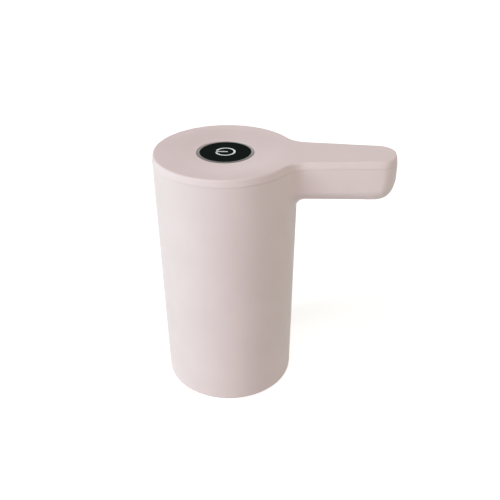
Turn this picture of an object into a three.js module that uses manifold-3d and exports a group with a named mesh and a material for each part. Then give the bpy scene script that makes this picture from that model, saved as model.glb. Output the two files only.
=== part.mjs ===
// A rechargeable pump that stands on the neck of a large water bottle.
// Millimetres, +Z up. The spout arm points along +X and the charging port is on the back, -X.
// Places are given from the axis of the round body; the whole model is then moved so that
// the origin is under the middle of its bounding box, on the plane that it stands on.

import * as THREE from "three";
import { mergeVertices } from "three/addons/utils/BufferGeometryUtils.js";
import Module from "manifold-3d";

const wasm = await Module();
wasm.setup();

// Driving dimensions of the outside
const height = 132.6;
const topRadius = 36.6;
const baseRadius = 34.44;
const baseRound = 3.07;
const wall = 2.4;
const arm = {
  reach: 84.9,
  rootHalfWidth: 14.33,
  tipHalfWidth: 10.36,
  depth: 22.4,
  planFillet: 12,
  cornerRound: 9,
  edgeRootWidth: 10.4,
  edgeTipWidth: 6,
  edgeHeight: 7,
  tipRoundLength: 7.3,
  tipRoundHeight: 12.4,
  rootFillet: 5.6,
};
const cover = {
  depth: 3.7,
  leanDegrees: 8,
  edgeRound: 1,
  thickness: 2.2,
  seam: 0.1,
  tongueDepth: 2.5,
  tongueWall: 1.2,
};

// Clearances
const fitGap = 0.3; // around a piece that slides in, turns or is passed through
const seatGap = 0.1; // between faces that rest on each other
const pressGap = 0.1; // between a shaft and what is pressed on it
const overrun = 1; // how far a cut runs past the face that it opens

// The neck socket, and the plate that closes the works above it
const socket = { radius: 30, depth: 21.6 };
const ledge = { innerRadius: 25, thickness: 3 };
const plate = { thickness: 3.2, recess: 1.2 };
const neckGasket = { innerRadius: 25.2, thickness: 2.4 };
const sleeve = { bottom: 1, innerRadius: 28.2, lipHeight: 0.6, lipPitch: 4.5, lips: 3 };
const inlet = { outerRadius: 4, boreRadius: 2.5, length: 13, barb: 0.6, barbHeight: 3 };

// Screws
const screw = { radius: 1.1, headRadius: 2.1, headHeight: 1.6 };
const baseScrews = { circle: 27.5, count: 3, length: 4.4 };
const posts = { circle: 24.5, radius: 2.6, anglesDegrees: [75, 245, 315], screwLength: 7 };

// Gear pump
const gear = { teeth: 10, pitchRadius: 5, rootRadius: 3.8, outerRadius: 5.85, width: 8 };
const gearShares = { rootHalf: 0.27, tipHalf: 0.1 }; // of the angle between two teeth
const pump = {
  x: 4.8,
  floor: 3.5,
  chamberGap: 0.2,
  halfLength: 11.5,
  halfWidth: 15.5,
  cornerRound: 4,
  coverThickness: 4.5,
  screwInset: 2.9,
  screwLength: 13,
  inletRadius: 2.2,
  outletBore: 1.9,
  nippleRadius: 3,
  nippleEnd: 21,
  cupWall: 0.8,
  cupHeight: 3,
  sealRadius: 4,
  sealHeight: 2.4,
  pinRadius: 1.5,
  pinDepth: 2.5,
  oRingRadius: 5.2,
  oRingSection: 1.1,
};

// Motor
const motor = {
  radius: 12.2,
  length: 30.8,
  canWall: 0.8,
  endCapHeight: 4,
  bossRadius: 3.5,
  bossHeight: 2,
  shaftRadius: 1,
  bushingRadius: 2.8,
  bushingHeight: 2.4,
  magnetInner: 9.6,
  magnetHeight: 18,
  magnetStart: 4,
  magnetSpreadDegrees: 130,
  armatureRadius: 9.1,
  armatureHubRadius: 3.4,
  armatureHeight: 16,
  armaturePoleWidth: 4.6,
  armatureShoeThickness: 2,
  armatureShoeDegrees: 92,
  poles: 3,
  commutatorRadius: 3.1,
  commutatorHeight: 3.6,
  brushWidth: 2.4,
  brushThickness: 0.5,
  terminalOffset: 7,
  terminalRadius: 1,
  terminalHeight: 2.6,
};
const clamp = { radius: 28.6, thickness: 2 };

// Cell, board and what the board carries
const cell = { x: -17.6, radius: 9.2, leadRoom: 19.1, capRadius: 3, capHeight: 1.2 };
const board = { drop: 14, thickness: 1.6, edgeGap: 1.4, tubeGap: 2 };
const boss = { radius: 2.8, wallGap: 4.1, screwLength: 7, anglesDegrees: [54, -54, 126, -126] };
const usb = { length: 7.3, width: 9, height: 3.2, shell: 0.35, setBack: 0.9, tongueWidth: 6.6 };
const usbTongue = { thickness: 0.7, length: 6, baseLength: 1.4 };
const plug = { length: 8, width: 5, height: 6 };
const batteryPlug = { x: -13, y: 12 };
const motorPlug = { x: 6, y: -13 };
const lead = { radius: 0.7, spacing: 3, rise: 5 };
const led = { length: 3, width: 1.6, height: 1, offset: 6 };

// Button, from the top face down
const button = {
  radius: 12.6,
  setBelow: 0.8,
  thickness: 2,
  skirtWall: 1.6,
  skirtDepth: 3.6,
  travel: 0.5,
  ringRadius: 14.4,
  ringSetBelow: 0.5,
  ringLip: 0.3,
  ringDrop: 0.6,
  collarWall: 2.1,
  ledgeTop: 5.6,
  ledgeThickness: 1.4,
  ledgeInnerRadius: 10.5,
  gasketThickness: 0.5,
  gasketWidth: 1.8,
  guideRadius: 9.8,
  flangeRadius: 11.6,
  flangeThickness: 1.3,
  nubRadius: 2,
  nubHeight: 0.6,
};
const symbol = { radius: 5.15, stroke: 1.1, barStart: -4.8, barEnd: 1.2, gapHalfDegrees: 13.5, gap: 0.15 };
const tact = { size: 6, plungerRadius: 1.7, plungerShow: 1.2, cavity: 2.2 };

// Water way in the arm
const tube = { outerRadius: 4, boreRadius: 3.2, bendRadius: 8, wallGap: 1.1, armLength: 6.5 };
const pipe = { outerRadius: 3, boreRadius: 2.5, lift: 11.4, grip: 5, bendRadius: 6, tipGap: 13.6, show: 1.4 };
const grommet = { flangeRadius: 5, flangeThickness: 0.5, sleeveRadius: 4.2, rise: 1 };
const cradle = { thickness: 2 };
const cradleShares = [0.4, 0.7]; // of the way from the body to the outlet

// Smoothness of round pieces
const sideCounts = { body: 16, disc: 32, small: 16, fine: 8 };
const stepCounts = { corner: 4, side: 2, fillet: 4, tip: 3, turn: 5, foot: 3, edge: 2 };
const hoseCounts = { sides: 12, steps: 24 };
const leadCounts = { sides: 6, steps: 10 };
const mergeTolerance = 1e-3;

// Heights worked out from the sizes above
const seamTop = height - cover.depth;
const shellTop = seamTop - cover.seam;
const ledgeTop = socket.depth + ledge.thickness;
const plateBottom = ledgeTop + seatGap;
const plateTop = plateBottom + plate.thickness;
const baseScrewSeat = socket.depth + screw.headHeight + seatGap;
const boardTop = height - board.drop;
const boardBottom = boardTop - board.thickness;
const plugTop = boardBottom - seatGap;
const plugBottom = plugTop - plug.height;
const pumpBottom = plateTop + seatGap;
const chamberBottom = pumpBottom + pump.floor;
const chamberTop = chamberBottom + gear.width + 2 * seatGap;
const pumpCoverBottom = chamberTop + seatGap;
const pumpCoverTop = pumpCoverBottom + pump.coverThickness;
const motorBottom = pumpCoverTop + seatGap;
const motorTop = motorBottom + motor.length;
const clampBottom = motorTop + seatGap;
const clampTop = clampBottom + clamp.thickness;
const cellBottom = plateTop - plate.recess + seatGap;
const cellTop = plugBottom - cell.leadRoom;
const outletZ = (chamberBottom + chamberTop) / 2;
const armUnder = height - arm.depth;
const pipeZ = armUnder + pipe.lift;
const motorY = -gear.pitchRadius;
const driveSpot = [pump.x, motorY];
const drivenSpot = [pump.x, gear.pitchRadius];
const radians = THREE.MathUtils.degToRad;

// Radius of the outside of the body at a height
function bodyRadius(z) {
  return THREE.MathUtils.lerp(baseRadius, topRadius, z / height);
}

// Places that follow from the room inside the body and the arm
const boardRadius = bodyRadius(boardBottom) - wall - board.edgeGap;
const bossCircle = topRadius - wall - boss.radius - boss.wallGap;
const riserX = Math.min(bodyRadius(outletZ), bodyRadius(pipeZ)) - wall - tube.wallGap - tube.outerRadius;
const boardFrontX = riserX - tube.outerRadius - board.tubeGap;
const tubeEnd = riserX + tube.bendRadius + tube.armLength;
const pipeStart = tubeEnd - pipe.grip;
const outletX = arm.reach - pipe.tipGap;

// Solids and their joins and cuts

function toSolid(geometry) {
  const bare = geometry.clone();
  bare.deleteAttribute("normal");
  bare.deleteAttribute("uv");
  const merged = mergeVertices(bare, mergeTolerance);
  const corners = merged.index.array;
  const kept = [];
  for (let i = 0; i < corners.length; i += 3) {
    const [a, b, c] = corners.slice(i, i + 3);
    if (a !== b && b !== c && c !== a) kept.push(a, b, c);
  }
  const vertProperties = merged.attributes.position.array;
  const triVerts = new Uint32Array(kept);
  return new wasm.Manifold(new wasm.Mesh({ numProp: 3, vertProperties, triVerts }));
}

function toGeometry(solid) {
  const made = solid.getMesh();
  const geometry = new THREE.BufferGeometry();
  geometry.setAttribute("position", new THREE.BufferAttribute(made.vertProperties, 3));
  geometry.setIndex(new THREE.BufferAttribute(made.triVerts, 1));
  geometry.computeVertexNormals();
  return geometry;
}

function join(...pieces) {
  return toGeometry(pieces.map(toSolid).reduce((sum, next) => sum.add(next)));
}

function cut(piece, ...tools) {
  return toGeometry(tools.map(toSolid).reduce((rest, tool) => rest.subtract(tool), toSolid(piece)));
}

// A profile of [radius, height] pairs turned about the vertical line through x, y
function revolve(profile, segments, x = 0, y = 0) {
  const points = profile.map(([r, z]) => new THREE.Vector2(r, z));
  if (THREE.ShapeUtils.area(points) < 0) points.reverse();
  const turned = new THREE.LatheGeometry(points, segments);
  turned.rotateX(Math.PI / 2);
  turned.translate(x, y, 0);
  return turned;
}

function disc(radius, bottom, top, segments, [x, y] = [0, 0]) {
  const profile = [
    [0, bottom],
    [radius, bottom],
    [radius, top],
    [0, top],
  ];
  return revolve(profile, segments, x, y);
}

function ring(outer, inner, bottom, top, segments, [x, y] = [0, 0]) {
  const profile = [
    [inner, bottom],
    [outer, bottom],
    [outer, top],
    [inner, top],
    [inner, bottom],
  ];
  return revolve(profile, segments, x, y);
}

function block([x0, x1], [y0, y1], [z0, z1]) {
  const made = new THREE.BoxGeometry(x1 - x0, y1 - y0, z1 - z0);
  return made.translate((x0 + x1) / 2, (y0 + y1) / 2, (z0 + z1) / 2);
}

function blockAt([x, y], length, width, bottom, top) {
  return block([x - length / 2, x + length / 2], [y - width / 2, y + width / 2], [bottom, top]);
}

function prism(shape, bottom, top, curveSegments = sideCounts.fine) {
  const made = new THREE.ExtrudeGeometry(shape, { depth: top - bottom, bevelEnabled: false, curveSegments });
  return made.translate(0, 0, bottom);
}

// A prism whose section lies across X, with its low end at from
function prismAlongX(shape, length, from) {
  const options = { depth: length, bevelEnabled: false, curveSegments: sideCounts.fine / 2 };
  const made = new THREE.ExtrudeGeometry(shape, options);
  return made.rotateX(Math.PI / 2).rotateZ(Math.PI / 2).translate(...from);
}

function roundedRectangle([x, y], halfLength, halfWidth, radius) {
  const shape = new THREE.Shape();
  shape.absarc(x + halfLength - radius, y + halfWidth - radius, radius, 0, Math.PI / 2);
  shape.absarc(x - halfLength + radius, y + halfWidth - radius, radius, Math.PI / 2, Math.PI);
  shape.absarc(x - halfLength + radius, y - halfWidth + radius, radius, Math.PI, 1.5 * Math.PI);
  shape.absarc(x + halfLength - radius, y - halfWidth + radius, radius, 1.5 * Math.PI, 2 * Math.PI);
  return shape;
}

// A round tube along a path; without a bore it is solid
function hose(path, outer, bore, { sides, steps }) {
  const section = new THREE.Shape().absarc(0, 0, outer, 0, 2 * Math.PI);
  if (bore) section.holes.push(new THREE.Path().absarc(0, 0, bore, 0, 2 * Math.PI, true));
  const options = { extrudePath: path, steps, curveSegments: sides / 2, bevelEnabled: false };
  return new THREE.ExtrudeGeometry(section, options);
}

// A cylinder-headed screw whose head bears upwards or downwards on the face at seat
function screwShape(seat, length, pointsUp, spot) {
  const side = pointsUp ? 1 : -1;
  const profile = [
    [0, seat - side * screw.headHeight],
    [screw.headRadius, seat - side * screw.headHeight],
    [screw.headRadius, seat],
    [screw.radius, seat],
    [screw.radius, seat + side * (length - screw.radius)],
    [0, seat + side * length],
  ];
  return revolve(profile, sideCounts.fine, ...spot);
}

function polar(circle, degrees) {
  return [circle * Math.cos(radians(degrees)), circle * Math.sin(radians(degrees))];
}

const baseScrewSpots = Array.from({ length: baseScrews.count }, (_, i) =>
  polar(baseScrews.circle, (360 / baseScrews.count) * i),
);
const postSpots = posts.anglesDegrees.map((angle) => polar(posts.circle, angle));
const bossSpots = boss.anglesDegrees.map((angle) => polar(bossCircle, angle));
const pumpScrewSpots = [-1, 1].flatMap((across) =>
  [-1, 1].map((along) => [
    pump.x + across * (pump.halfLength - pump.screwInset),
    along * (pump.halfWidth - pump.screwInset),
  ]),
);

// Body and arm

// Part of the way along an arc from one direction to another
function slerp(from, to, share) {
  const angle = from.angleTo(to);
  const first = Math.sin((1 - share) * angle) / Math.sin(angle);
  return from.clone().multiplyScalar(first).addScaledVector(to, Math.sin(share * angle) / Math.sin(angle));
}

// Half a ring round the body and arm, from the middle of the tip to the back, drawn in by offset.
// The turn runs from nothing, where the arm's sides are upright, to a quarter at its flat underside.
// There the ring dips through the fillet that joins the arm to the body.
function halfRing(z, offset, reach, turn = 0) {
  const edgeRoot = arm.edgeRootWidth - offset;
  const edgeHeight = arm.edgeHeight - offset;
  const share = 1 - Math.cos(turn);
  const rootHalf = arm.rootHalfWidth - offset - edgeRoot * share;
  const tipHalf = arm.tipHalfWidth - offset - (arm.edgeTipWidth - offset) * share;
  const lean = Math.atan2(rootHalf - tipHalf, arm.reach - topRadius);
  const normal = new THREE.Vector2(Math.sin(lean), Math.cos(lean));
  const along = new THREE.Vector2(Math.cos(lean), -Math.sin(lean));
  const out = normal.x * topRadius + normal.y * rootHalf;
  const corner = ((arm.cornerRound - offset) * tipHalf) / (arm.tipHalfWidth - offset);
  const cornerX = reach - corner;
  const cornerY = (out - corner - normal.x * cornerX) / normal.y;
  const points = [new THREE.Vector3(reach, 0, z)];
  for (let i = 0; i <= stepCounts.corner; i++) {
    const angle = ((Math.PI / 2 - lean) * i) / stepCounts.corner;
    points.push(new THREE.Vector3(cornerX + corner * Math.cos(angle), cornerY + corner * Math.sin(angle), z));
  }
  const slope = new THREE.Vector2(Math.cos(turn) / edgeRoot, Math.sin(turn) / edgeHeight).normalize();
  const fillet = arm.rootFillet + (arm.planFillet - arm.rootFillet) * (1 - slope.y) + offset;
  const footZ = z - fillet * slope.y;
  const radius = bodyRadius(footZ) - offset;
  const across = out + fillet * slope.x;
  const centre = normal.clone().multiplyScalar(across);
  centre.addScaledVector(along, Math.sqrt((radius + fillet) ** 2 - across ** 2));
  const sideStart = points.at(-1);
  const [endX, endY] = centre.clone().addScaledVector(normal, -fillet * slope.x).toArray();
  const sideEnd = new THREE.Vector3(endX, endY, z);
  for (let i = 1; i < stepCounts.side; i++) points.push(sideStart.clone().lerp(sideEnd, i / stepCounts.side));
  const hub = new THREE.Vector3(centre.x, centre.y, footZ);
  const first = new THREE.Vector3(-normal.x * slope.x, -normal.y * slope.x, slope.y);
  const last = new THREE.Vector3(-centre.x, -centre.y, 0).normalize();
  for (let i = 0; i <= stepCounts.fillet; i++) {
    points.push(hub.clone().addScaledVector(slerp(first, last, i / stepCounts.fillet), fillet));
  }
  const joint = centre.angle();
  for (let i = 1; i <= sideCounts.body; i++) {
    points.push(onCircle(THREE.MathUtils.lerp(joint, Math.PI, i / sideCounts.body), radius, footZ));
  }
  return { points, joint };
}

const armColumns = 1 + stepCounts.corner + stepCounts.side;

function onCircle(angle, radius, z) {
  return new THREE.Vector3(radius * Math.cos(angle), radius * Math.sin(angle), z);
}

// The outline of the upright part with every wall drawn in by offset, at a height of its own
function planAt(z, offset) {
  return halfRing(height, offset, arm.reach - offset).points.map((p) => p.clone().setZ(z));
}

const mirror = (points) => points.map((p) => new THREE.Vector3(p.x, -p.y, p.z)).reverse();

// Half rings stacked from the top down, mirrored and capped. Rows, if there are any, close an
// underside between the last of the rings and the first of the low rings.
function stack(rings, rows = [], lowRings = []) {
  const vertices = [];
  const index = [];
  const skin = (lines, closed) => {
    const count = lines[0].length;
    const start = vertices.length;
    vertices.push(...lines.flat());
    for (let r = 0; r + 1 < lines.length; r++) {
      for (let i = 0; i < (closed ? count : count - 1); i++) {
        const a = start + r * count + i;
        const b = start + r * count + ((i + 1) % count);
        index.push(a, a + count, b, b, a + count, b + count);
      }
    }
  };
  const cap = (line, flip) => {
    const start = vertices.length;
    vertices.push(...line, new THREE.Vector3(0, 0, line[0].z));
    line.forEach((_, i) => {
      const j = (i + 1) % line.length;
      index.push(start + line.length, start + (flip ? j : i), start + (flip ? i : j));
    });
  };
  const full = (half) => [...half, ...mirror(half.slice(1, -1))];
  skin(rings.map(full), true);
  if (rows.length) skin(rows.map((half) => [...mirror(half.slice(1)), ...half]), false);
  if (lowRings.length) skin(lowRings.map(full), true);
  cap(full(rings[0]), false);
  cap(full((lowRings.length ? lowRings : rings).at(-1)), true);
  const geometry = new THREE.BufferGeometry().setFromPoints(vertices);
  geometry.setIndex(index);
  return geometry;
}

// The body with its arm, every wall drawn in by offset, from top down to bottom. The arm's end is
// an elliptical round, its long lower edges are rounded, and a fillet runs round its root.
function bodyForm({ offset, top, bottom, footRound }) {
  const under = armUnder + offset;
  const tipLength = arm.tipRoundLength - offset;
  const tipHeight = Math.min(arm.tipRoundHeight, shellTop - armUnder) - offset;
  const edgeHeight = arm.edgeHeight - offset;
  const reachAt = (z) => {
    const down = 1 - THREE.MathUtils.clamp((z - under) / tipHeight, 0, 1);
    return arm.reach - offset - tipLength * (1 - Math.sqrt(1 - down ** 2));
  };
  const rings = [halfRing(top, offset, arm.reach - offset).points];
  const edgeTurn = Math.asin(1 - edgeHeight / tipHeight);
  for (let i = 0; i < stepCounts.tip; i++) {
    const z = under + tipHeight * (1 - Math.sin((edgeTurn * i) / stepCounts.tip));
    rings.push(halfRing(z, offset, reachAt(z)).points);
  }
  let lowest;
  for (let i = 0; i <= stepCounts.turn; i++) {
    const turn = ((Math.PI / 2) * i) / stepCounts.turn;
    const z = under + edgeHeight * (1 - Math.sin(turn));
    lowest = halfRing(z, offset, reachAt(z), turn);
    rings.push(lowest.points);
  }
  const fillet = arm.rootFillet + offset;
  const footZ = under - fillet;
  const radius = bodyRadius(footZ) - offset;
  const angles = Array.from({ length: armColumns + 1 }, (_, i) => (lowest.joint * i) / armColumns);
  const rows = [lowest.points.slice(0, armColumns + 1)];
  for (let i = 0; i <= stepCounts.fillet; i++) {
    const angle = ((Math.PI / 2) * i) / stepCounts.fillet;
    const out = radius + fillet * (1 - Math.sin(angle));
    rows.push(angles.map((a) => onCircle(a, out, footZ + fillet * Math.cos(angle))));
  }
  for (let i = 1; i <= sideCounts.body; i++) {
    angles.push(THREE.MathUtils.lerp(lowest.joint, Math.PI, i / sideCounts.body));
  }
  const lowRings = [angles.map((a) => onCircle(a, radius, footZ))];
  for (let i = 0; i <= (footRound ? stepCounts.foot : 0); i++) {
    const angle = ((Math.PI / 2) * i) / stepCounts.foot;
    const z = bottom + footRound * (1 - Math.sin(angle));
    const inward = offset + footRound * (1 - Math.cos(angle));
    lowRings.push(angles.map((a) => onCircle(a, bodyRadius(z) - inward, z)));
  }
  return stack(rings, rows, lowRings);
}

// Casing

function bodyShell() {
  const outside = bodyForm({ offset: 0, top: shellTop, bottom: 0, footRound: baseRound });
  const inside = bodyForm({ offset: wall, top: shellTop + overrun, bottom: ledgeTop, footRound: 0 });
  const opening = disc(socket.radius, -overrun, socket.depth, sideCounts.disc);
  const bore = disc(ledge.innerRadius, socket.depth - overrun, ledgeTop + overrun, sideCounts.disc);
  const screwHoles = baseScrewSpots.flatMap((spot) => [
    disc(screw.radius + fitGap, socket.depth, ledgeTop + overrun, sideCounts.fine, spot),
    disc(screw.headRadius + fitGap, socket.depth - overrun, baseScrewSeat + seatGap, sideCounts.fine, spot),
  ]);
  const outletHole = grommet.sleeveRadius + fitGap;
  const outletSpot = [outletX, 0];
  const outlet = disc(outletHole, armUnder - overrun, armUnder + wall + overrun, sideCounts.small, outletSpot);
  const usbZ = boardBottom - seatGap - usb.height / 2;
  const port = prismAlongX(
    roundedRectangle([0, 0], usb.width / 2 + fitGap, usb.height / 2 + fitGap, usb.height / 2),
    2 * wall + overrun,
    [-bodyRadius(usbZ) - overrun, 0, usbZ],
  );
  return join(cut(outside, inside, opening, bore, outlet, port, ...screwHoles), ...cradles());
}

// Two ribs on the floor of the arm, each with a round notch that the pipe lies in
function cradles() {
  const floor = armUnder + wall / 2;
  const notchRadius = pipe.outerRadius + fitGap;
  const notch = new THREE.CylinderGeometry(notchRadius, notchRadius, arm.reach, sideCounts.small);
  notch.rotateZ(Math.PI / 2).translate(arm.reach / 2, 0, pipeZ);
  return cradleShares.map((share) => {
    const x = THREE.MathUtils.lerp(topRadius, outletX, share);
    const half = arm.tipHalfWidth - arm.edgeTipWidth + wall;
    const rib = block([x - cradle.thickness / 2, x + cradle.thickness / 2], [-half, half], [floor, pipeZ]);
    return cut(rib, notch);
  });
}

function topCover() {
  const rings = [];
  const lean = radians(cover.leanDegrees);
  const flatInset = (cover.edgeRound + Math.sin(lean) * (cover.depth - cover.edgeRound)) / Math.cos(lean);
  for (let i = stepCounts.edge; i >= 0; i--) {
    const angle = THREE.MathUtils.lerp(lean, Math.PI / 2, i / stepCounts.edge);
    const z = height - cover.edgeRound * (1 - Math.sin(angle));
    rings.push(planAt(z, flatInset - cover.edgeRound * Math.cos(angle)));
  }
  rings.push(planAt(seamTop, 0));
  const pocketTop = height - cover.thickness;
  const flat = (offset, top, bottom) => stack([planAt(top, offset), planAt(bottom, offset)]);
  const tongueOffset = wall + fitGap;
  const tongue = cut(
    flat(tongueOffset, pocketTop + seatGap, shellTop - cover.tongueDepth),
    flat(tongueOffset + cover.tongueWall, pocketTop, shellTop - cover.tongueDepth - overrun),
  );
  const lid = join(cut(stack(rings), flat(tongueOffset, pocketTop, seamTop - overrun)), tongue);
  const wellRadius = button.ringRadius + fitGap;
  const ledgeTopZ = height - button.ledgeTop;
  const ledgeBottomZ = ledgeTopZ - button.ledgeThickness;
  const collar = disc(wellRadius + button.collarWall, ledgeBottomZ, pocketTop + seatGap, sideCounts.disc);
  const bosses = bossSpots.map((spot) =>
    disc(boss.radius, boardTop + seatGap, pocketTop + seatGap, sideCounts.small, spot),
  );
  const pilots = bossSpots.map((spot) =>
    disc(screw.radius + fitGap, boardTop, boardTop + boss.screwLength, sideCounts.fine, spot),
  );
  const well = disc(wellRadius, ledgeTopZ, height + overrun, sideCounts.disc);
  const opening = disc(button.ledgeInnerRadius, ledgeBottomZ - overrun, height, sideCounts.disc);
  return cut(join(lid, collar, ...bosses), well, opening, ...pilots);
}

// Button

function powerSymbol(grow) {
  const outer = symbol.radius + grow;
  const inner = symbol.radius - symbol.stroke - grow;
  const bare = radians(symbol.gapHalfDegrees) - grow / symbol.radius;
  const arc = new THREE.Shape();
  arc.absarc(0, 0, outer, bare - Math.PI, Math.PI - bare, false);
  arc.absarc(0, 0, inner, Math.PI - bare, bare - Math.PI, true);
  const bar = new THREE.Shape();
  const half = symbol.stroke / 2 + grow;
  bar.moveTo(symbol.barStart - grow, -half);
  bar.lineTo(symbol.barEnd + grow, -half);
  bar.lineTo(symbol.barEnd + grow, half);
  bar.lineTo(symbol.barStart - grow, half);
  return [arc, bar];
}

const capTop = height - button.setBelow;
const capBottom = capTop - button.thickness;

function buttonCap() {
  const profile = [
    [0, capBottom],
    [button.radius - button.skirtWall, capBottom],
    [button.radius - button.skirtWall, capTop - button.skirtDepth],
    [button.radius, capTop - button.skirtDepth],
    [button.radius, capTop],
    [0, capTop],
  ];
  const windows = powerSymbol(0).map((shape) => prism(shape, capBottom - overrun, capTop + overrun));
  return cut(revolve(profile, sideCounts.disc), ...windows);
}

function symbolLightGuide() {
  const ledgeBottomZ = height - button.ledgeTop - button.ledgeThickness;
  const flangeTop = ledgeBottomZ - fitGap;
  const flangeBottom = flangeTop - button.flangeThickness;
  const guideTop = capBottom - seatGap;
  const profile = [
    [0, flangeBottom - button.nubHeight],
    [button.nubRadius, flangeBottom - button.nubHeight],
    [button.nubRadius, flangeBottom],
    [button.flangeRadius, flangeBottom],
    [button.flangeRadius, flangeTop],
    [button.guideRadius, flangeTop],
    [button.guideRadius, guideTop],
    [0, guideTop],
  ];
  const raised = powerSymbol(-symbol.gap).map((shape) => prism(shape, guideTop - seatGap, capTop - seatGap));
  return join(revolve(profile, sideCounts.disc), ...raised);
}

function buttonTrimRing() {
  const bottom = height - button.ledgeTop + seatGap;
  const top = height - button.ringSetBelow;
  const inner = button.radius + fitGap;
  const profile = [
    [inner, bottom],
    [button.ringRadius, bottom],
    [button.ringRadius, top],
    [button.ringRadius - button.ringLip, top],
    [inner, top - button.ringDrop],
    [inner, bottom],
  ];
  return revolve(profile, sideCounts.disc);
}

function buttonGasket() {
  const bottom = height - button.ledgeTop + seatGap;
  const outer = button.radius - fitGap;
  return ring(outer, outer - button.gasketWidth, bottom, bottom + button.gasketThickness, sideCounts.disc);
}

const guideBottom =
  height - button.ledgeTop - button.ledgeThickness - fitGap - button.flangeThickness - button.nubHeight;
const plungerTop = guideBottom - seatGap;
const tactTop = plungerTop - tact.plungerShow;
const tactHole = tact.plungerRadius + fitGap;

function switchBody() {
  const body = blockAt([0, 0], tact.size, tact.size, boardTop + seatGap, tactTop);
  const floor = tactTop - tact.cavity;
  return cut(body, disc(tactHole, floor, tactTop + overrun, sideCounts.small));
}

function switchPlunger() {
  const bottom = tactTop - tact.cavity + button.travel + fitGap;
  return disc(tact.plungerRadius, bottom, plungerTop, sideCounts.small);
}

// Board

function controlBoard() {
  const outline = new THREE.Shape();
  const front = Math.acos(boardFrontX / boardRadius);
  outline.absarc(0, 0, boardRadius, front, 2 * Math.PI - front, false);
  const plateShape = prism(outline, boardBottom, boardTop, 2 * sideCounts.fine);
  const holes = bossSpots.map((spot) =>
    disc(screw.radius + fitGap, boardBottom - overrun, boardTop + overrun, sideCounts.fine, spot),
  );
  return cut(plateShape, ...holes);
}

function usbShell() {
  const top = boardBottom - seatGap;
  const z = top - usb.height / 2;
  const mouth = -bodyRadius(z) + usb.setBack;
  const outline = roundedRectangle([0, 0], usb.width / 2, usb.height / 2, usb.height / 2);
  const inner = roundedRectangle(
    [0, 0],
    usb.width / 2 - usb.shell,
    usb.height / 2 - usb.shell,
    usb.height / 2 - usb.shell,
  );
  const outer = prismAlongX(outline, usb.length, [mouth, 0, z]);
  const hollow = prismAlongX(inner, usb.length, [mouth - usb.shell, 0, z]);
  return cut(outer, hollow);
}

function usbTongueShape() {
  const z = boardBottom - seatGap - usb.height / 2;
  const back = -bodyRadius(z) + usb.setBack + usb.length - usb.shell - fitGap;
  const half = usb.height / 2 - usb.shell - fitGap;
  const base = block(
    [back - usbTongue.baseLength, back - pressGap],
    [-usb.tongueWidth / 2, usb.tongueWidth / 2],
    [z - half, z + half],
  );
  const blade = block(
    [back - usbTongue.length, back - pressGap],
    [-usb.tongueWidth / 2, usb.tongueWidth / 2],
    [z - usbTongue.thickness / 2, z + usbTongue.thickness / 2],
  );
  return join(base, blade);
}

function plugHousing({ x, y }) {
  return blockAt([x, y], plug.length, plug.width, plugBottom, plugTop);
}

// Plate over the socket, with the inlet barb below it and the tall posts above it

function basePlate() {
  const radius = bodyRadius(plateBottom) - wall - fitGap;
  const slab = disc(radius, plateBottom, plateTop, sideCounts.disc);
  const barbEnd = plateBottom - inlet.length;
  const barb = revolve(
    [
      [0, barbEnd],
      [inlet.outerRadius - inlet.barb, barbEnd],
      [inlet.outerRadius + inlet.barb, barbEnd + inlet.barbHeight],
      [inlet.outerRadius, barbEnd + inlet.barbHeight],
      [inlet.outerRadius, plateBottom + seatGap],
      [0, plateBottom + seatGap],
    ],
    sideCounts.small,
  );
  const pillars = postSpots.map((spot) =>
    disc(posts.radius, plateTop - seatGap, motorTop, sideCounts.small, spot),
  );
  const pilots = postSpots.map((spot) =>
    disc(screw.radius + fitGap, motorTop - posts.screwLength, motorTop + overrun, sideCounts.fine, spot),
  );
  const holes = baseScrewSpots.map((spot) =>
    disc(screw.radius + fitGap, plateBottom - overrun, plateTop + overrun, sideCounts.fine, spot),
  );
  const pumpPilots = pumpScrewSpots.map((spot) =>
    disc(screw.radius + fitGap, plateTop - plate.recess, plateTop + overrun, sideCounts.fine, spot),
  );
  const seatRadius = cell.radius + fitGap;
  const seat = disc(seatRadius, plateTop - plate.recess, plateTop + overrun, sideCounts.disc, [cell.x, 0]);
  const bore = disc(inlet.boreRadius, barbEnd - overrun, plateTop + overrun, sideCounts.small);
  return cut(join(slab, barb, ...pillars), bore, seat, ...pilots, ...holes, ...pumpPilots);
}

function neckGasketShape() {
  const top = socket.depth - seatGap;
  const outer = sleeve.innerRadius - sleeve.lipHeight - fitGap;
  return ring(outer, neckGasket.innerRadius, top - neckGasket.thickness, top, sideCounts.disc);
}

// A grip sleeve whose bore has a few soft lips
function neckGripSleeve() {
  const top = socket.depth - seatGap;
  const outer = socket.radius - fitGap;
  const profile = [
    [sleeve.innerRadius, sleeve.bottom],
    [outer, sleeve.bottom],
    [outer, top],
    [sleeve.innerRadius, top],
  ];
  for (let i = sleeve.lips; i >= 1; i--) {
    const z = sleeve.bottom + i * sleeve.lipPitch;
    profile.push([sleeve.innerRadius, z + sleeve.lipHeight]);
    profile.push([sleeve.innerRadius - sleeve.lipHeight, z]);
    profile.push([sleeve.innerRadius, z - sleeve.lipHeight]);
  }
  profile.push(profile[0]);
  return revolve(profile, sideCounts.disc);
}

// Pump

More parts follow.
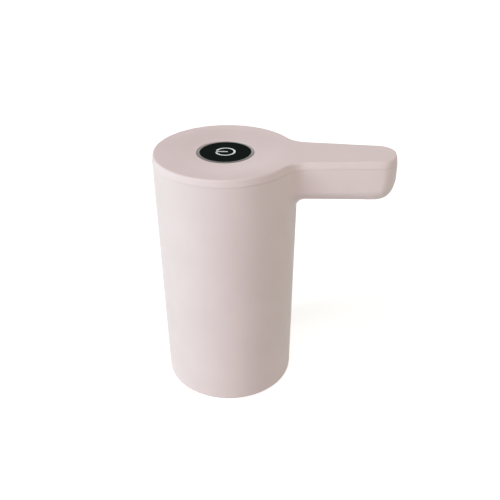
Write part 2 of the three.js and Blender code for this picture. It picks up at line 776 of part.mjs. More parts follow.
function gearShape(spot, phase, boreRadius) {
  const pitch = (2 * Math.PI) / gear.teeth;
  const shape = new THREE.Shape();
  for (let i = 0; i < gear.teeth; i++) {
    const middle = phase + i * pitch;
    const flank = [
      [gear.rootRadius, -gearShares.rootHalf],
      [gear.outerRadius, -gearShares.tipHalf],
      [gear.outerRadius, gearShares.tipHalf],
      [gear.rootRadius, gearShares.rootHalf],
    ];
    for (const [radius, share] of flank) {
      const angle = middle + share * pitch;
      const [x, y] = [spot[0] + radius * Math.cos(angle), spot[1] + radius * Math.sin(angle)];
      if (shape.curves.length || shape.currentPoint.lengthSq()) shape.lineTo(x, y);
      else shape.moveTo(x, y);
    }
  }
  const bottom = chamberBottom + seatGap;
  const bore = disc(boreRadius, bottom - overrun, bottom + gear.width + overrun, sideCounts.small, spot);
  return cut(prism(shape, bottom, bottom + gear.width), bore);
}

function driveGear() {
  return gearShape(driveSpot, Math.PI / 2, motor.shaftRadius + pressGap);
}

function drivenGear() {
  return gearShape(drivenSpot, -Math.PI / 2 + Math.PI / gear.teeth, pump.pinRadius + fitGap);
}

const pumpOutline = () => roundedRectangle([pump.x, 0], pump.halfLength, pump.halfWidth, pump.cornerRound);

function pumpBody() {
  const casing = prism(pumpOutline(), pumpBottom, chamberTop, sideCounts.fine / 2);
  const nipple = new THREE.CylinderGeometry(
    pump.nippleRadius,
    pump.nippleRadius,
    pump.nippleEnd - pump.x - pump.halfLength + wall,
    sideCounts.small,
  );
  nipple.rotateZ(Math.PI / 2);
  nipple.translate((pump.nippleEnd + pump.x + pump.halfLength - wall) / 2, 0, outletZ);
  const chamberRadius = gear.outerRadius + pump.chamberGap;
  const chambers = [driveSpot, drivenSpot].map((spot) =>
    disc(chamberRadius, chamberBottom, chamberTop + overrun, sideCounts.disc, spot),
  );
  const inletBore = disc(pump.inletRadius, pumpBottom - overrun, chamberTop - overrun, sideCounts.small);
  const outletBore = new THREE.CylinderGeometry(
    pump.outletBore,
    pump.outletBore,
    pump.nippleEnd - pump.x + overrun,
    sideCounts.small,
  );
  outletBore.rotateZ(Math.PI / 2);
  outletBore.translate((pump.nippleEnd + overrun + pump.x) / 2, 0, outletZ);
  const groove = ring(
    pump.oRingRadius + pump.oRingSection / 2 + fitGap / 2,
    pump.oRingRadius - pump.oRingSection / 2 - fitGap / 2,
    pumpBottom - overrun,
    pumpBottom + pump.oRingSection,
    sideCounts.disc,
  );
  const pinBottom = chamberBottom - pump.pinDepth;
  const pinHole = disc(pump.pinRadius + pressGap, pinBottom, chamberTop, sideCounts.small, drivenSpot);
  const holes = pumpScrewSpots.map((spot) =>
    disc(screw.radius + fitGap, pumpBottom - overrun, chamberTop + overrun, sideCounts.fine, spot),
  );
  return cut(join(casing, nipple), ...chambers, inletBore, outletBore, groove, pinHole, ...holes);
}

// The cover carries the motor in a shallow cup and the shaft seal in a pocket
function pumpCover() {
  const [low, high] = [pumpCoverBottom, pumpCoverTop];
  const cupTop = high + pump.cupHeight;
  const seatRadius = motor.radius + fitGap;
  const cup = disc(seatRadius + pump.cupWall, low, cupTop, sideCounts.disc, driveSpot);
  const motorSeat = disc(seatRadius, high, cupTop + overrun, sideCounts.disc, driveSpot);
  const slab = prism(pumpOutline(), low, high, sideCounts.fine / 2);
  const shaftHoleRadius = motor.shaftRadius + fitGap;
  const shaftHole = disc(shaftHoleRadius, low - overrun, high + overrun, sideCounts.small, driveSpot);
  const sealBottom = high - pump.sealHeight;
  const sealSeat = disc(pump.sealRadius + pressGap, sealBottom, high + overrun, sideCounts.small, driveSpot);
  const pinHoleRadius = pump.pinRadius + pressGap;
  const pinHole = disc(pinHoleRadius, low - overrun, low + pump.pinDepth, sideCounts.small, drivenSpot);
  const headBottom = high - screw.headHeight - fitGap;
  const heads = pumpScrewSpots.map((spot) =>
    disc(screw.headRadius + fitGap, headBottom, cupTop + overrun, sideCounts.small, spot),
  );
  const holes = pumpScrewSpots.map((spot) =>
    disc(screw.radius + fitGap, low - overrun, high, sideCounts.fine, spot),
  );
  return cut(join(slab, cup), motorSeat, shaftHole, sealSeat, pinHole, ...heads, ...holes);
}

function idlerPin() {
  const bottom = chamberBottom - pump.pinDepth + seatGap;
  const top = pumpCoverBottom + pump.pinDepth - seatGap;
  return disc(pump.pinRadius, bottom, top, sideCounts.small, drivenSpot);
}

function shaftSeal() {
  const bottom = pumpCoverTop - pump.sealHeight + seatGap;
  const top = pumpCoverTop - seatGap;
  return ring(pump.sealRadius, motor.shaftRadius + fitGap, bottom, top, sideCounts.small, driveSpot);
}

function inletORing() {
  const half = pump.oRingSection / 2;
  const profile = [];
  const around = sideCounts.fine;
  for (let i = 0; i <= around; i++) {
    const angle = (2 * Math.PI * i) / around;
    const radius = pump.oRingRadius + (half - seatGap / 2) * Math.cos(angle);
    profile.push([radius, pumpBottom + half - seatGap / 2 + (half - seatGap / 2) * Math.sin(angle)]);
  }
  return revolve(profile, sideCounts.disc);
}

// Motor

const canTop = motorTop - motor.endCapHeight;
const magnetBottom = motorBottom + motor.magnetStart;
const armatureBottom = magnetBottom + (motor.magnetHeight - motor.armatureHeight) / 2;
const commutatorTop = canTop - seatGap;
const commutatorBottom = commutatorTop - motor.commutatorHeight;

function motorCan() {
  const outer = disc(motor.radius, motorBottom, canTop, sideCounts.disc, driveSpot);
  const inside = motor.radius - motor.canWall;
  const hollow = disc(inside, motorBottom + motor.canWall, canTop + overrun, sideCounts.disc, driveSpot);
  const holeRadius = motor.bushingRadius + pressGap;
  const hole = disc(holeRadius, motorBottom - overrun, canTop, sideCounts.small, driveSpot);
  return cut(outer, hollow, hole);
}

function frontBushing() {
  const bottom = motorBottom + seatGap;
  return ring(
    motor.bushingRadius,
    motor.shaftRadius + fitGap / 2,
    bottom,
    bottom + motor.bushingHeight,
    sideCounts.small,
    driveSpot,
  );
}

function magnet(side) {
  const outer = motor.radius - motor.canWall - seatGap;
  const half = radians(motor.magnetSpreadDegrees / 2);
  const middle = side > 0 ? 0 : Math.PI;
  const shape = new THREE.Shape();
  shape.absarc(...driveSpot, outer, middle - half, middle + half, false);
  shape.absarc(...driveSpot, motor.magnetInner, middle + half, middle - half, true);
  return prism(shape, magnetBottom, magnetBottom + motor.magnetHeight, sideCounts.fine);
}

// Three wound poles with curved shoes on one hub
function armature() {
  const top = armatureBottom + motor.armatureHeight;
  const inner = motor.armatureRadius - motor.armatureShoeThickness;
  const poles = Array.from({ length: motor.poles }, (_, i) => {
    const turn = (2 * Math.PI * i) / motor.poles;
    const half = radians(motor.armatureShoeDegrees / 2);
    const shoe = new THREE.Shape();
    sector(shoe, motor.armatureRadius, inner, turn - half, turn + half);
    const arms = blockAt([inner / 2, 0], inner + seatGap, motor.armaturePoleWidth, armatureBottom, top);
    arms.rotateZ(turn).translate(...driveSpot, 0);
    return join(prism(shoe, armatureBottom, top, sideCounts.fine), arms);
  });
  const hub = disc(motor.armatureHubRadius, armatureBottom, top, sideCounts.small, driveSpot);
  const boreRadius = motor.shaftRadius + pressGap;
  const bore = disc(boreRadius, armatureBottom - overrun, top + overrun, sideCounts.small, driveSpot);
  return cut(join(hub, ...poles), bore);
}

function sector(shape, outer, inner, from, to) {
  shape.absarc(...driveSpot, outer, from, to, false);
  shape.absarc(...driveSpot, inner, to, from, true);
}

function commutator() {
  return ring(
    motor.commutatorRadius,
    motor.shaftRadius + pressGap,
    commutatorBottom,
    commutatorTop,
    sideCounts.small,
    driveSpot,
  );
}

function motorShaft() {
  const top = motorTop + motor.bossHeight - fitGap;
  return disc(motor.shaftRadius, chamberBottom + 2 * seatGap, top, sideCounts.small, driveSpot);
}

const terminalSpots = [-1, 1].map((side) => [pump.x + side * motor.terminalOffset, motorY]);

function motorEndCap() {
  const slab = disc(motor.radius, canTop + seatGap, motorTop, sideCounts.disc, driveSpot);
  const bossTop = motorTop + motor.bossHeight;
  const rearBoss = disc(motor.bossRadius, motorTop - seatGap, bossTop, sideCounts.small, driveSpot);
  const terminals = terminalSpots.map((spot) =>
    disc(motor.terminalRadius, motorTop - seatGap, motorTop + motor.terminalHeight, sideCounts.fine, spot),
  );
  const bore = disc(motor.shaftRadius + fitGap, canTop, bossTop + overrun, sideCounts.small, driveSpot);
  return cut(join(slab, rearBoss, ...terminals), bore);
}

function brush(side) {
  const inner = motor.commutatorRadius + fitGap;
  const [x, y] = driveSpot;
  const near = x + side * inner;
  const far = x + side * (inner + motor.brushThickness);
  return block(
    [Math.min(near, far), Math.max(near, far)],
    [y - motor.brushWidth / 2, y + motor.brushWidth / 2],
    [commutatorBottom, canTop],
  );
}

function clampPlate() {
  const slab = disc(clamp.radius, clampBottom, clampTop, sideCounts.disc);
  const low = clampBottom - overrun;
  const high = clampTop + overrun;
  const reliefRadius = tube.outerRadius + 2 * fitGap;
  const cuts = [
    disc(cell.radius + fitGap, low, high, sideCounts.disc, [cell.x, 0]),
    disc(motor.bossRadius + fitGap, low, high, sideCounts.small, driveSpot),
    disc(reliefRadius, low, high, sideCounts.small, [riserX, 0]),
    block([riserX, riserX + clamp.radius], [-reliefRadius, reliefRadius], [low, high]),
    ...terminalSpots.map((spot) => disc(motor.terminalRadius + fitGap, low, high, sideCounts.fine, spot)),
    ...postSpots.map((spot) => disc(screw.radius + fitGap, low, high, sideCounts.fine, spot)),
  ];
  return cut(slab, ...cuts);
}

function batteryCell() {
  const can = disc(cell.radius, cellBottom, cellTop, sideCounts.disc, [cell.x, 0]);
  const capTop = cellTop + cell.capHeight;
  const cap = disc(cell.capRadius, cellTop - seatGap, capTop, sideCounts.small, [cell.x, 0]);
  return join(can, cap);
}

// Water way

function lineTo(path, from, to) {
  path.add(new THREE.LineCurve3(new THREE.Vector3(...from), new THREE.Vector3(...to)));
}

// A quarter bend in the XZ plane, as a curve of its own
class Bend extends THREE.Curve {
  constructor(centre, radius, first, last) {
    super();
    Object.assign(this, { centre, radius, first, last });
  }
  getPoint(share, target = new THREE.Vector3()) {
    const angle = THREE.MathUtils.lerp(this.first, this.last, share);
    const [x, z] = this.centre;
    return target.set(x + this.radius * Math.cos(angle), 0, z + this.radius * Math.sin(angle));
  }
}

function outletTube() {
  const path = new THREE.CurvePath();
  const bend = tube.bendRadius;
  const lowEnd = riserX - bend;
  const highEnd = riserX + bend;
  lineTo(path, [pump.x + pump.halfLength + seatGap, 0, outletZ], [lowEnd, 0, outletZ]);
  path.add(new Bend([lowEnd, outletZ + bend], bend, -Math.PI / 2, 0));
  lineTo(path, [riserX, 0, outletZ + bend], [riserX, 0, pipeZ - bend]);
  path.add(new Bend([highEnd, pipeZ - bend], bend, Math.PI, Math.PI / 2));
  lineTo(path, [highEnd, 0, pipeZ], [tubeEnd, 0, pipeZ]);
  return hose(path, tube.outerRadius, tube.boreRadius, hoseCounts);
}

function spoutPipe() {
  const path = new THREE.CurvePath();
  const bend = pipe.bendRadius;
  lineTo(path, [pipeStart, 0, pipeZ], [outletX - bend, 0, pipeZ]);
  path.add(new Bend([outletX - bend, pipeZ - bend], bend, Math.PI / 2, 0));
  lineTo(path, [outletX, 0, pipeZ - bend], [outletX, 0, armUnder - pipe.show]);
  return hose(path, pipe.outerRadius, pipe.boreRadius, hoseCounts);
}

function spoutGrommet() {
  const flangeTop = armUnder - seatGap;
  const inner = pipe.outerRadius + fitGap;
  const profile = [
    [inner, flangeTop - grommet.flangeThickness],
    [grommet.flangeRadius, flangeTop - grommet.flangeThickness],
    [grommet.flangeRadius, flangeTop],
    [grommet.sleeveRadius, flangeTop],
    [grommet.sleeveRadius, armUnder + wall + grommet.rise],
    [inner, armUnder + wall + grommet.rise],
    [inner, flangeTop - grommet.flangeThickness],
  ];
  return revolve(profile, sideCounts.small, outletX, 0);
}

// A thin lead that rises straight from one end and meets the other from below
function leadShape(from, to) {
  const [start, end] = [new THREE.Vector3(...from), new THREE.Vector3(...to)];
  const up = new THREE.Vector3(0, 0, 1);
  const curve = new THREE.CatmullRomCurve3([
    start,
    start.clone().addScaledVector(up, lead.rise),
    end.clone().addScaledVector(up, -lead.rise),
    end,
  ]);
  return hose(curve, lead.radius, 0, leadCounts);
}

function plugEnd({ x, y }, side) {
  return [x + (side * lead.spacing) / 2, y, plugBottom - seatGap];
}

// Materials

const plastic = (color, roughness) => new THREE.MeshStandardMaterial({ color, roughness, metalness: 0 });
const metal = (color, roughness) => new THREE.MeshStandardMaterial({ color, roughness, metalness: 1 });
const casing = plastic("#e4d6d2", 0.45);
const glossBlack = plastic("#161a19", 0.12);
const brightMetal = metal("#c9cbcd", 0.25);
const steel = metal("#a9acb0", 0.35);
const clearWhite = plastic("#e9eef0", 0.3);
const silicone = plastic("#dcdcd8", 0.6);
const rubber = plastic("#3a3b3c", 0.8);
const boardGreen = plastic("#1f5a3c", 0.5);
const innerPlastic = plastic("#d9dbda", 0.5);
const darkPlastic = plastic("#26282a", 0.5);
const cellWrap = plastic("#3f7fb8", 0.35);
const copper = metal("#b87a4b", 0.4);
const ferrite = plastic("#3b3a3a", 0.7);
const whiteNylon = plastic("#eceae3", 0.45);
const redWire = plastic("#b3251f", 0.5);
const blackWire = plastic("#1c1c1d", 0.5);

// Assembly

const assembly = new THREE.Group();

function place(name, geometry, material) {
  const mesh = new THREE.Mesh(geometry, material);
  mesh.name = name;
  assembly.add(mesh);
}

place("body_shell", bodyShell(), casing);
place("top_cover", topCover(), casing);
place("button_trim_ring", buttonTrimRing(), brightMetal);
place("button_cap", buttonCap(), glossBlack);
place("symbol_light_guide", symbolLightGuide(), clearWhite);
place("button_gasket", buttonGasket(), rubber);
place("switch_body", switchBody(), darkPlastic);
place("switch_plunger", switchPlunger(), whiteNylon);

place("control_board", controlBoard(), boardGreen);
place("usb_socket_shell", usbShell(), brightMetal);
place("usb_socket_tongue", usbTongueShape(), darkPlastic);
place("battery_connector", plugHousing(batteryPlug), whiteNylon);
place("motor_connector", plugHousing(motorPlug), whiteNylon);
for (const [name, side] of [["led_left", -1], ["led_right", 1]]) {
  const bottom = boardTop + seatGap;
  const lamp = blockAt([side * led.offset, 0], led.width, led.length, bottom, bottom + led.height);
  place(name, lamp, clearWhite);
}
bossSpots.forEach((spot, i) => {
  const seat = boardBottom - seatGap;
  place(`board_screw_${i + 1}`, screwShape(seat, boss.screwLength, true, spot), steel);
});

place("base_plate", basePlate(), innerPlastic);
place("neck_gasket", neckGasketShape(), silicone);
place("neck_grip_sleeve", neckGripSleeve(), rubber);
baseScrewSpots.forEach((spot, i) => {
  place(`base_screw_${i + 1}`, screwShape(baseScrewSeat, baseScrews.length, true, spot), steel);
});
place("clamp_plate", clampPlate(), innerPlastic);
postSpots.forEach((spot, i) => {
  place(`clamp_screw_${i + 1}`, screwShape(clampTop + seatGap, posts.screwLength, false, spot), steel);
});

place("pump_body", pumpBody(), darkPlastic);
place("pump_cover", pumpCover(), darkPlastic);
place("drive_gear", driveGear(), whiteNylon);
place("driven_gear", drivenGear(), whiteNylon);
place("idler_pin", idlerPin(), steel);
place("shaft_seal", shaftSeal(), rubber);
place("inlet_o_ring", inletORing(), rubber);
pumpScrewSpots.forEach((spot, i) => {
  const seat = pumpCoverTop - screw.headHeight - fitGap + seatGap;
  place(`pump_screw_${i + 1}`, screwShape(seat, pump.screwLength, false, spot), steel);
});

place("motor_can", motorCan(), steel);
place("motor_end_cap", motorEndCap(), darkPlastic);
place("front_bushing", frontBushing(), copper);
place("magnet_left", magnet(-1), ferrite);
place("magnet_right", magnet(1), ferrite);
place("armature", armature(), copper);
place("commutator", commutator(), copper);
place("motor_shaft", motorShaft(), steel);
place("brush_left", brush(-1), copper);
place("brush_right", brush(1), copper);

const leadStarts = terminalSpots.map((spot) => [...spot, motorTop + motor.terminalHeight + seatGap]);
place("motor_lead_negative", leadShape(leadStarts[0], plugEnd(motorPlug, -1)), blackWire);
place("motor_lead_positive", leadShape(leadStarts[1], plugEnd(motorPlug, 1)), redWire);

place("battery_cell", batteryCell(), cellWrap);
const tabZ = cellTop + cell.capHeight + seatGap;
const rimX = cell.x + (cell.capRadius + cell.radius) / 2;
place("battery_lead_positive", leadShape([cell.x, 0, tabZ], plugEnd(batteryPlug, -1)), redWire);
place("battery_lead_negative", leadShape([rimX, 0, cellTop + seatGap], plugEnd(batteryPlug, 1)), blackWire);

place("outlet_tube", outletTube(), silicone);
place("spout_pipe", spoutPipe(), brightMetal);
place("spout_grommet", spoutGrommet(), silicone);

// The middle of the bounding box lies between the tip of the arm and the back of the body
assembly.position.x = -(arm.reach - topRadius) / 2;
const part = new THREE.Group();
part.add(assembly);

export default part;
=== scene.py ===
"""The looks of a rechargeable water bottle pump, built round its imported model."""

import math

import bmesh
import bpy
from mathutils import Matrix, Vector


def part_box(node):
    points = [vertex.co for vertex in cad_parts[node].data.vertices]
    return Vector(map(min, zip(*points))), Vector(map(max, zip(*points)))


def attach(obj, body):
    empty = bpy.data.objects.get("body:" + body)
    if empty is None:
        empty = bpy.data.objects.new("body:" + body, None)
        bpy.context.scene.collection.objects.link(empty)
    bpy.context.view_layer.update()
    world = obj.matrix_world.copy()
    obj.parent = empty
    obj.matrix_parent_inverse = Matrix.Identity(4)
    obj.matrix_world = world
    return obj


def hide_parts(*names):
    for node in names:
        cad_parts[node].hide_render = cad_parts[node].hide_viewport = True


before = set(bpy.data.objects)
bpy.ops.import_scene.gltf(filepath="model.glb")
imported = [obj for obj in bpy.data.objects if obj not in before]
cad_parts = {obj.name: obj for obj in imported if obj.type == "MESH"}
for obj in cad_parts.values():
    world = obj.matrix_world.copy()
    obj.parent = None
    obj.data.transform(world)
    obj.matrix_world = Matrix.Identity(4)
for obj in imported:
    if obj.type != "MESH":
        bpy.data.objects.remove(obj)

MM = 0.001
TURN = 2 * math.pi

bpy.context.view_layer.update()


# Sizes read from the frame

shell_low, shell_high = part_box("body_shell")
cover_low, cover_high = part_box("top_cover")
ring_low, ring_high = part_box("button_trim_ring")
cap_low, cap_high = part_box("button_cap")
plate_low, plate_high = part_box("base_plate")
gasket_low, gasket_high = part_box("neck_gasket")
sleeve_low, sleeve_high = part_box("neck_grip_sleeve")
pipe_low, pipe_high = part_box("spout_pipe")
grommet_low, grommet_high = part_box("spout_grommet")
board_low, board_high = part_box("control_board")
usb_low, usb_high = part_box("usb_socket_shell")
guide_low, guide_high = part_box("symbol_light_guide")

HEIGHT = cover_high.z
AXIS_X = (cap_low.x + cap_high.x) / 2
SHELL_TOP = shell_high.z
REACH = shell_high.x - AXIS_X
PIPE_X = (grommet_low.x + grommet_high.x) / 2
USB_Z = (usb_low.z + usb_high.z) / 2
USB_WIDTH = usb_high.y - usb_low.y
USB_HEIGHT = usb_high.z - usb_low.z

# Sizes of the casing, as in the solids, and its gaps and fine rounds

TOP_RADIUS = 36.6 * MM
BASE_RADIUS = 34.44 * MM
BASE_ROUND = 3.07 * MM
WALL = 2.4 * MM
ROOT_HALF_WIDTH = 14.33 * MM
TIP_HALF_WIDTH = 10.36 * MM
ARM_DEPTH = 22.4 * MM
PLAN_FILLET = 12 * MM
CORNER_ROUND = 9 * MM
EDGE_ROUND_ROOT = 10.4 * MM
EDGE_ROUND_TIP = 6 * MM
EDGE_ROUND_HEIGHT = 7 * MM
TIP_ROUND_LENGTH = 7.3 * MM
TIP_ROUND_HEIGHT = 12.4 * MM
ROOT_FILLET = 5.6 * MM
COVER_DEPTH = 3.7 * MM
COVER_LEAN = math.radians(8)
COVER_THICKNESS = 2.2 * MM
COVER_EDGE = 1 * MM
TONGUE_DEPTH = 2.5 * MM
TONGUE_WALL = 1.2 * MM
SOCKET_RADIUS = 30 * MM
SOCKET_DEPTH = 21.6 * MM
LEDGE_RADIUS = 25 * MM
LEDGE_THICKNESS = 3 * MM
FIT_GAP = 0.3 * MM
SEAT_GAP = 0.1 * MM
FINE_ROUND = 0.25 * MM
SEAM_ROUND = 0.12 * MM
ARM_UNDER = HEIGHT - ARM_DEPTH
SEAM_TOP = HEIGHT - COVER_DEPTH
LEDGE_TOP = SOCKET_DEPTH + LEDGE_THICKNESS

# Button

CAP_RADIUS = cap_high.x - AXIS_X
CAP_ROUND = 0.3 * MM
CAP_THICKNESS = 2 * MM
CAP_SKIRT = 1.6 * MM
RING_STEP = 0.05 * MM
RING_DROP = 0.25 * MM
RING_ROUND = 0.12 * MM
RING_EDGE_ANGLE = 80
NUB_RADIUS = 2 * MM
NUB_HEIGHT = 0.6 * MM
FLANGE_THICKNESS = 1.3 * MM
GUIDE_RADIUS = 9.8 * MM
WELL_RADIUS = ring_high.x - AXIS_X + SEAT_GAP
WELL_DEPTH = 5.6 * MM
WELL_ROUND = 0.25 * MM
DISH_RADIUS = 31 * MM
DISH_DEPTH = 0.9 * MM
WELL_LEDGE_THICKNESS = 1.4 * MM
WELL_LEDGE_RADIUS = 10.5 * MM
COLLAR_WALL = 2.3 * MM
SYMBOL_RADIUS = 5.15 * MM
SYMBOL_STROKE = 1.1 * MM
SYMBOL_GAP_ANGLE = math.radians(13.5)
BAR_START = -4.8 * MM
BAR_END = 1.2 * MM
SYMBOL_SINK = 0.05 * MM
SYMBOL_GAP = 0.05 * MM
SYMBOL_CUT_DEPTH = 3 * MM
SYMBOL_CUT_ABOVE = 1 * MM

# Neck socket and outlet

GASKET_INNER = 25.2 * MM
SLEEVE_INNER = 28.2 * MM
LIP_HEIGHT = 0.6 * MM
LIP_PITCH = 4.5 * MM
LIP_COUNT = 3
PIPE_WALL = 0.5 * MM
PIPE_BEND = 6 * MM
GROMMET_HOLE = 4.5 * MM
GROMMET_FLANGE_THICKNESS = 0.5 * MM
GROMMET_ROUND = GROMMET_FLANGE_THICKNESS / 3
USB_WALL = 0.35 * MM
SLOT_END_SHARE = 0.98

# How finely the shapes are divided, and where an edge stays sharp

CORNER_STEPS = 9
SIDE_STEPS = 8
FILLET_STEPS = 12
CIRCLE_STEPS = 44
ROUND_STEPS = 8
DISC_SIDES = 96
HOSE_SIDES = 48
BEND_STEPS = 14
DISH_STEPS = 12
SYMBOL_STEPS = 56
EDGE_STEPS = 6
SOFT_STEPS = 5
RING_EDGE_STEPS = 4
RIM_STEPS = 3
WELD_DISTANCE = 0.001 * MM
SHARP_ANGLE = math.radians(34)


# Outlines of the body and arm, about the body's axis

def body_radius(z):
    return BASE_RADIUS + (TOP_RADIUS - BASE_RADIUS) * z / HEIGHT


def side_line(root_half, tip_half):
    """The arm's straight side in plan: the directions across and along it, and how far out it lies."""
    lean = math.atan2(root_half - tip_half, REACH - TOP_RADIUS)
    normal = Vector((math.sin(lean), math.cos(lean)))
    along = Vector((math.cos(lean), -math.sin(lean)))
    return lean, normal, along, normal.x * TOP_RADIUS + normal.y * root_half


def ring_points(z, offset, reach, turn=0.0):
    """Half a ring round the body and arm, from the middle of the tip to the back, drawn in by offset.

    The turn runs from nothing, where the arm's sides are upright, to a quarter at its flat underside.
    There the ring dips through the fillet that joins the arm to the body."""
    edge_root = EDGE_ROUND_ROOT - offset
    edge_tip = EDGE_ROUND_TIP - offset
    edge_height = EDGE_ROUND_HEIGHT - offset
    share = 1 - math.cos(turn)
    tip_half = TIP_HALF_WIDTH - offset - edge_tip * share
    lean, normal, along, out = side_line(ROOT_HALF_WIDTH - offset - edge_root * share, tip_half)
    corner = (CORNER_ROUND - offset) * tip_half / (TIP_HALF_WIDTH - offset)
    corner_x = reach - corner
    corner_y = (out - corner - normal.x * corner_x) / normal.y
    points = [Vector((reach, 0, z)), Vector((reach, corner_y / 2, z))]
    for i in range(CORNER_STEPS + 1):
        angle = (math.pi / 2 - lean) * i / CORNER_STEPS
        points.append(Vector((corner_x + corner * math.cos(angle), corner_y + corner * math.sin(angle), z)))
    slope = Vector((math.cos(turn) / edge_root, math.sin(turn) / edge_height)).normalized()
    fillet = ROOT_FILLET + (PLAN_FILLET - ROOT_FILLET) * (1 - slope.y) + offset
    foot_z = z - fillet * slope.y
    radius = body_radius(foot_z) - offset
    across = out + fillet * slope.x
    centre = normal * across + along * math.sqrt((radius + fillet) ** 2 - across ** 2)
    start = points[-1].copy()
    end = centre - normal * fillet * slope.x
    points += [start.lerp(Vector((end.x, end.y, z)), i / SIDE_STEPS) for i in range(1, SIDE_STEPS)]
    first = Vector((-normal.x * slope.x, -normal.y * slope.x, slope.y))
    last = Vector((-centre.x, -centre.y, 0)).normalized()
    hub = Vector((centre.x, centre.y, foot_z))
    points += [hub + first.slerp(last, i / FILLET_STEPS) * fillet for i in range(FILLET_STEPS + 1)]
    joint = math.atan2(centre.y, centre.x)
    for i in range(1, CIRCLE_STEPS + 1):
        angle = joint + (math.pi - joint) * i / CIRCLE_STEPS
        points.append(Vector((radius * math.cos(angle), radius * math.sin(angle), foot_z)))
    return points, joint


ARM_COLUMNS = 1 + CORNER_STEPS + 1 + SIDE_STEPS
TOP_COLUMNS = ARM_COLUMNS + FILLET_STEPS


def offset_plan(z, offset):
    """The upright part's outline at a height with all of it drawn in by offset."""
    return ring_points(z, offset, REACH - offset)[0]


def spread_angles(joint, columns):
    """Angles about the body's axis: some columns from the arm's middle to the joint, the rest to the back."""
    angles = [joint * i / columns for i in range(columns)]
    return angles + [joint + (math.pi - joint) * i / CIRCLE_STEPS for i in range(CIRCLE_STEPS + 1)]


def circle_half(angles, radius, z):
    return [Vector((radius * math.cos(a), radius * math.sin(a), z)) for a in angles]


def full_ring(half):
    """A closed ring from half of it, moved to the row frame."""
    mirrored = [Vector((p.x, -p.y, p.z)) for p in reversed(half[1:-1])]
    return [Vector((p.x + AXIS_X, p.y, p.z)) for p in list(half) + mirrored]


def full_strip(half):
    """A row across the arm from half of it, moved to the row frame."""
    mirrored = [Vector((p.x, -p.y, p.z)) for p in reversed(half[1:])]
    return [Vector((p.x + AXIS_X, p.y, p.z)) for p in mirrored + list(half)]


def arm_form(offset, top):
    """The outside, or the inside drawn in by offset: rings down to the arm's underside, the rows that
    close the underside as far as the body, and the angles of the columns below."""
    under = ARM_UNDER + offset
    tip_length = TIP_ROUND_LENGTH - offset
    tip_height = TIP_ROUND_HEIGHT - offset
    edge_height = EDGE_ROUND_HEIGHT - offset

    def reach_at(z):
        share = min(max((z - under) / tip_height, 0), 1)
        return REACH - offset - tip_length * (1 - math.sqrt(1 - (1 - share) ** 2))

    rings = [full_ring(offset_plan(top, offset))]
    first = math.asin(1 - edge_height / tip_height)
    for i in range(ROUND_STEPS):
        z = under + tip_height * (1 - math.sin(first * i / ROUND_STEPS))
        rings.append(full_ring(ring_points(z, offset, reach_at(z))[0]))
    turns = 2 * ROUND_STEPS
    for i in range(turns + 1):
        turn = math.pi / 2 * i / turns
        z = under + edge_height * (1 - math.sin(turn))
        half, joint = ring_points(z, offset, reach_at(z), turn)
        rings.append(full_ring(half))
    fillet = ROOT_FILLET + offset
    radius = body_radius(under - fillet) - offset
    angles = spread_angles(joint, ARM_COLUMNS)
    rows = [full_strip(half[:ARM_COLUMNS + 1])]
    for i in range(FILLET_STEPS + 1):
        angle = math.pi / 2 * i / FILLET_STEPS
        out = radius + fillet * (1 - math.sin(angle))
        level = under - fillet * (1 - math.cos(angle))
        rows.append(full_strip(circle_half(angles[:ARM_COLUMNS + 1], out, level)))
    return rings, rows, angles, under - fillet


# Meshes

def linked_object(name, maker):
    """An object in the scene whose closed mesh a function draws."""
    mesh = bpy.data.meshes.new(name)
    bm = bmesh.new()
    maker(bm)
    bmesh.ops.remove_doubles(bm, verts=bm.verts, dist=WELD_DISTANCE)
    bmesh.ops.dissolve_degenerate(bm, edges=bm.edges, dist=WELD_DISTANCE)
    bmesh.ops.recalc_face_normals(bm, faces=bm.faces)
    bm.to_mesh(mesh)
    bm.free()
    obj = bpy.data.objects.new(name, mesh)
    bpy.context.scene.collection.objects.link(obj)
    return obj


def new_object(name, maker, body, finish, replaced=()):
    obj = linked_object(name, maker)
    obj.data.materials.append(finish)
    finish_shading(obj)
    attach(obj, body)
    if replaced:
        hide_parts(*replaced)
    return obj


def finish_shading(obj):
    """Smooth shading that keeps the sharp edges."""
    obj.data.shade_smooth()
    obj.data.set_sharp_from_angle(angle=SHARP_ANGLE)


def skin(bm, rings, closed=True):
    """Quads between rings of points; closed also joins the last ring to the first."""
    rows = [[bm.verts.new(p) for p in ring] for ring in rings]
    pairs = list(zip(rows, rows[1:]))
    if closed:
        pairs.append((rows[-1], rows[0]))
    for a, b in pairs:
        for i in range(len(a)):
            j = (i + 1) % len(a)
            bm.faces.new((a[i], b[i], b[j], a[j]))
    return rows


def strip(bm, rows):
    """Quads between open rows of points."""
    made = [[bm.verts.new(p) for p in row] for row in rows]
    for a, b in zip(made, made[1:]):
        for i in range(len(a) - 1):
            bm.faces.new((a[i], b[i], b[i + 1], a[i + 1]))


def turned(bm, profile, sides=DISC_SIDES, x=AXIS_X):
    """A closed profile of (radius, height) pairs turned about the vertical line at x on the X axis."""
    spots = [(math.cos(TURN * i / sides), math.sin(TURN * i / sides)) for i in range(sides)]
    skin(bm, [[(x + radius * c, radius * s, z) for c, s in spots] for radius, z in profile])


def arc(centre, radius, first, last, steps=ROUND_STEPS):
    """Points of a profile along an arc, in degrees."""
    points = []
    for i in range(steps + 1):
        angle = math.radians(first + (last - first) * i / steps)
        points.append((centre[0] + radius * math.cos(angle), centre[1] + radius * math.sin(angle)))
    return points


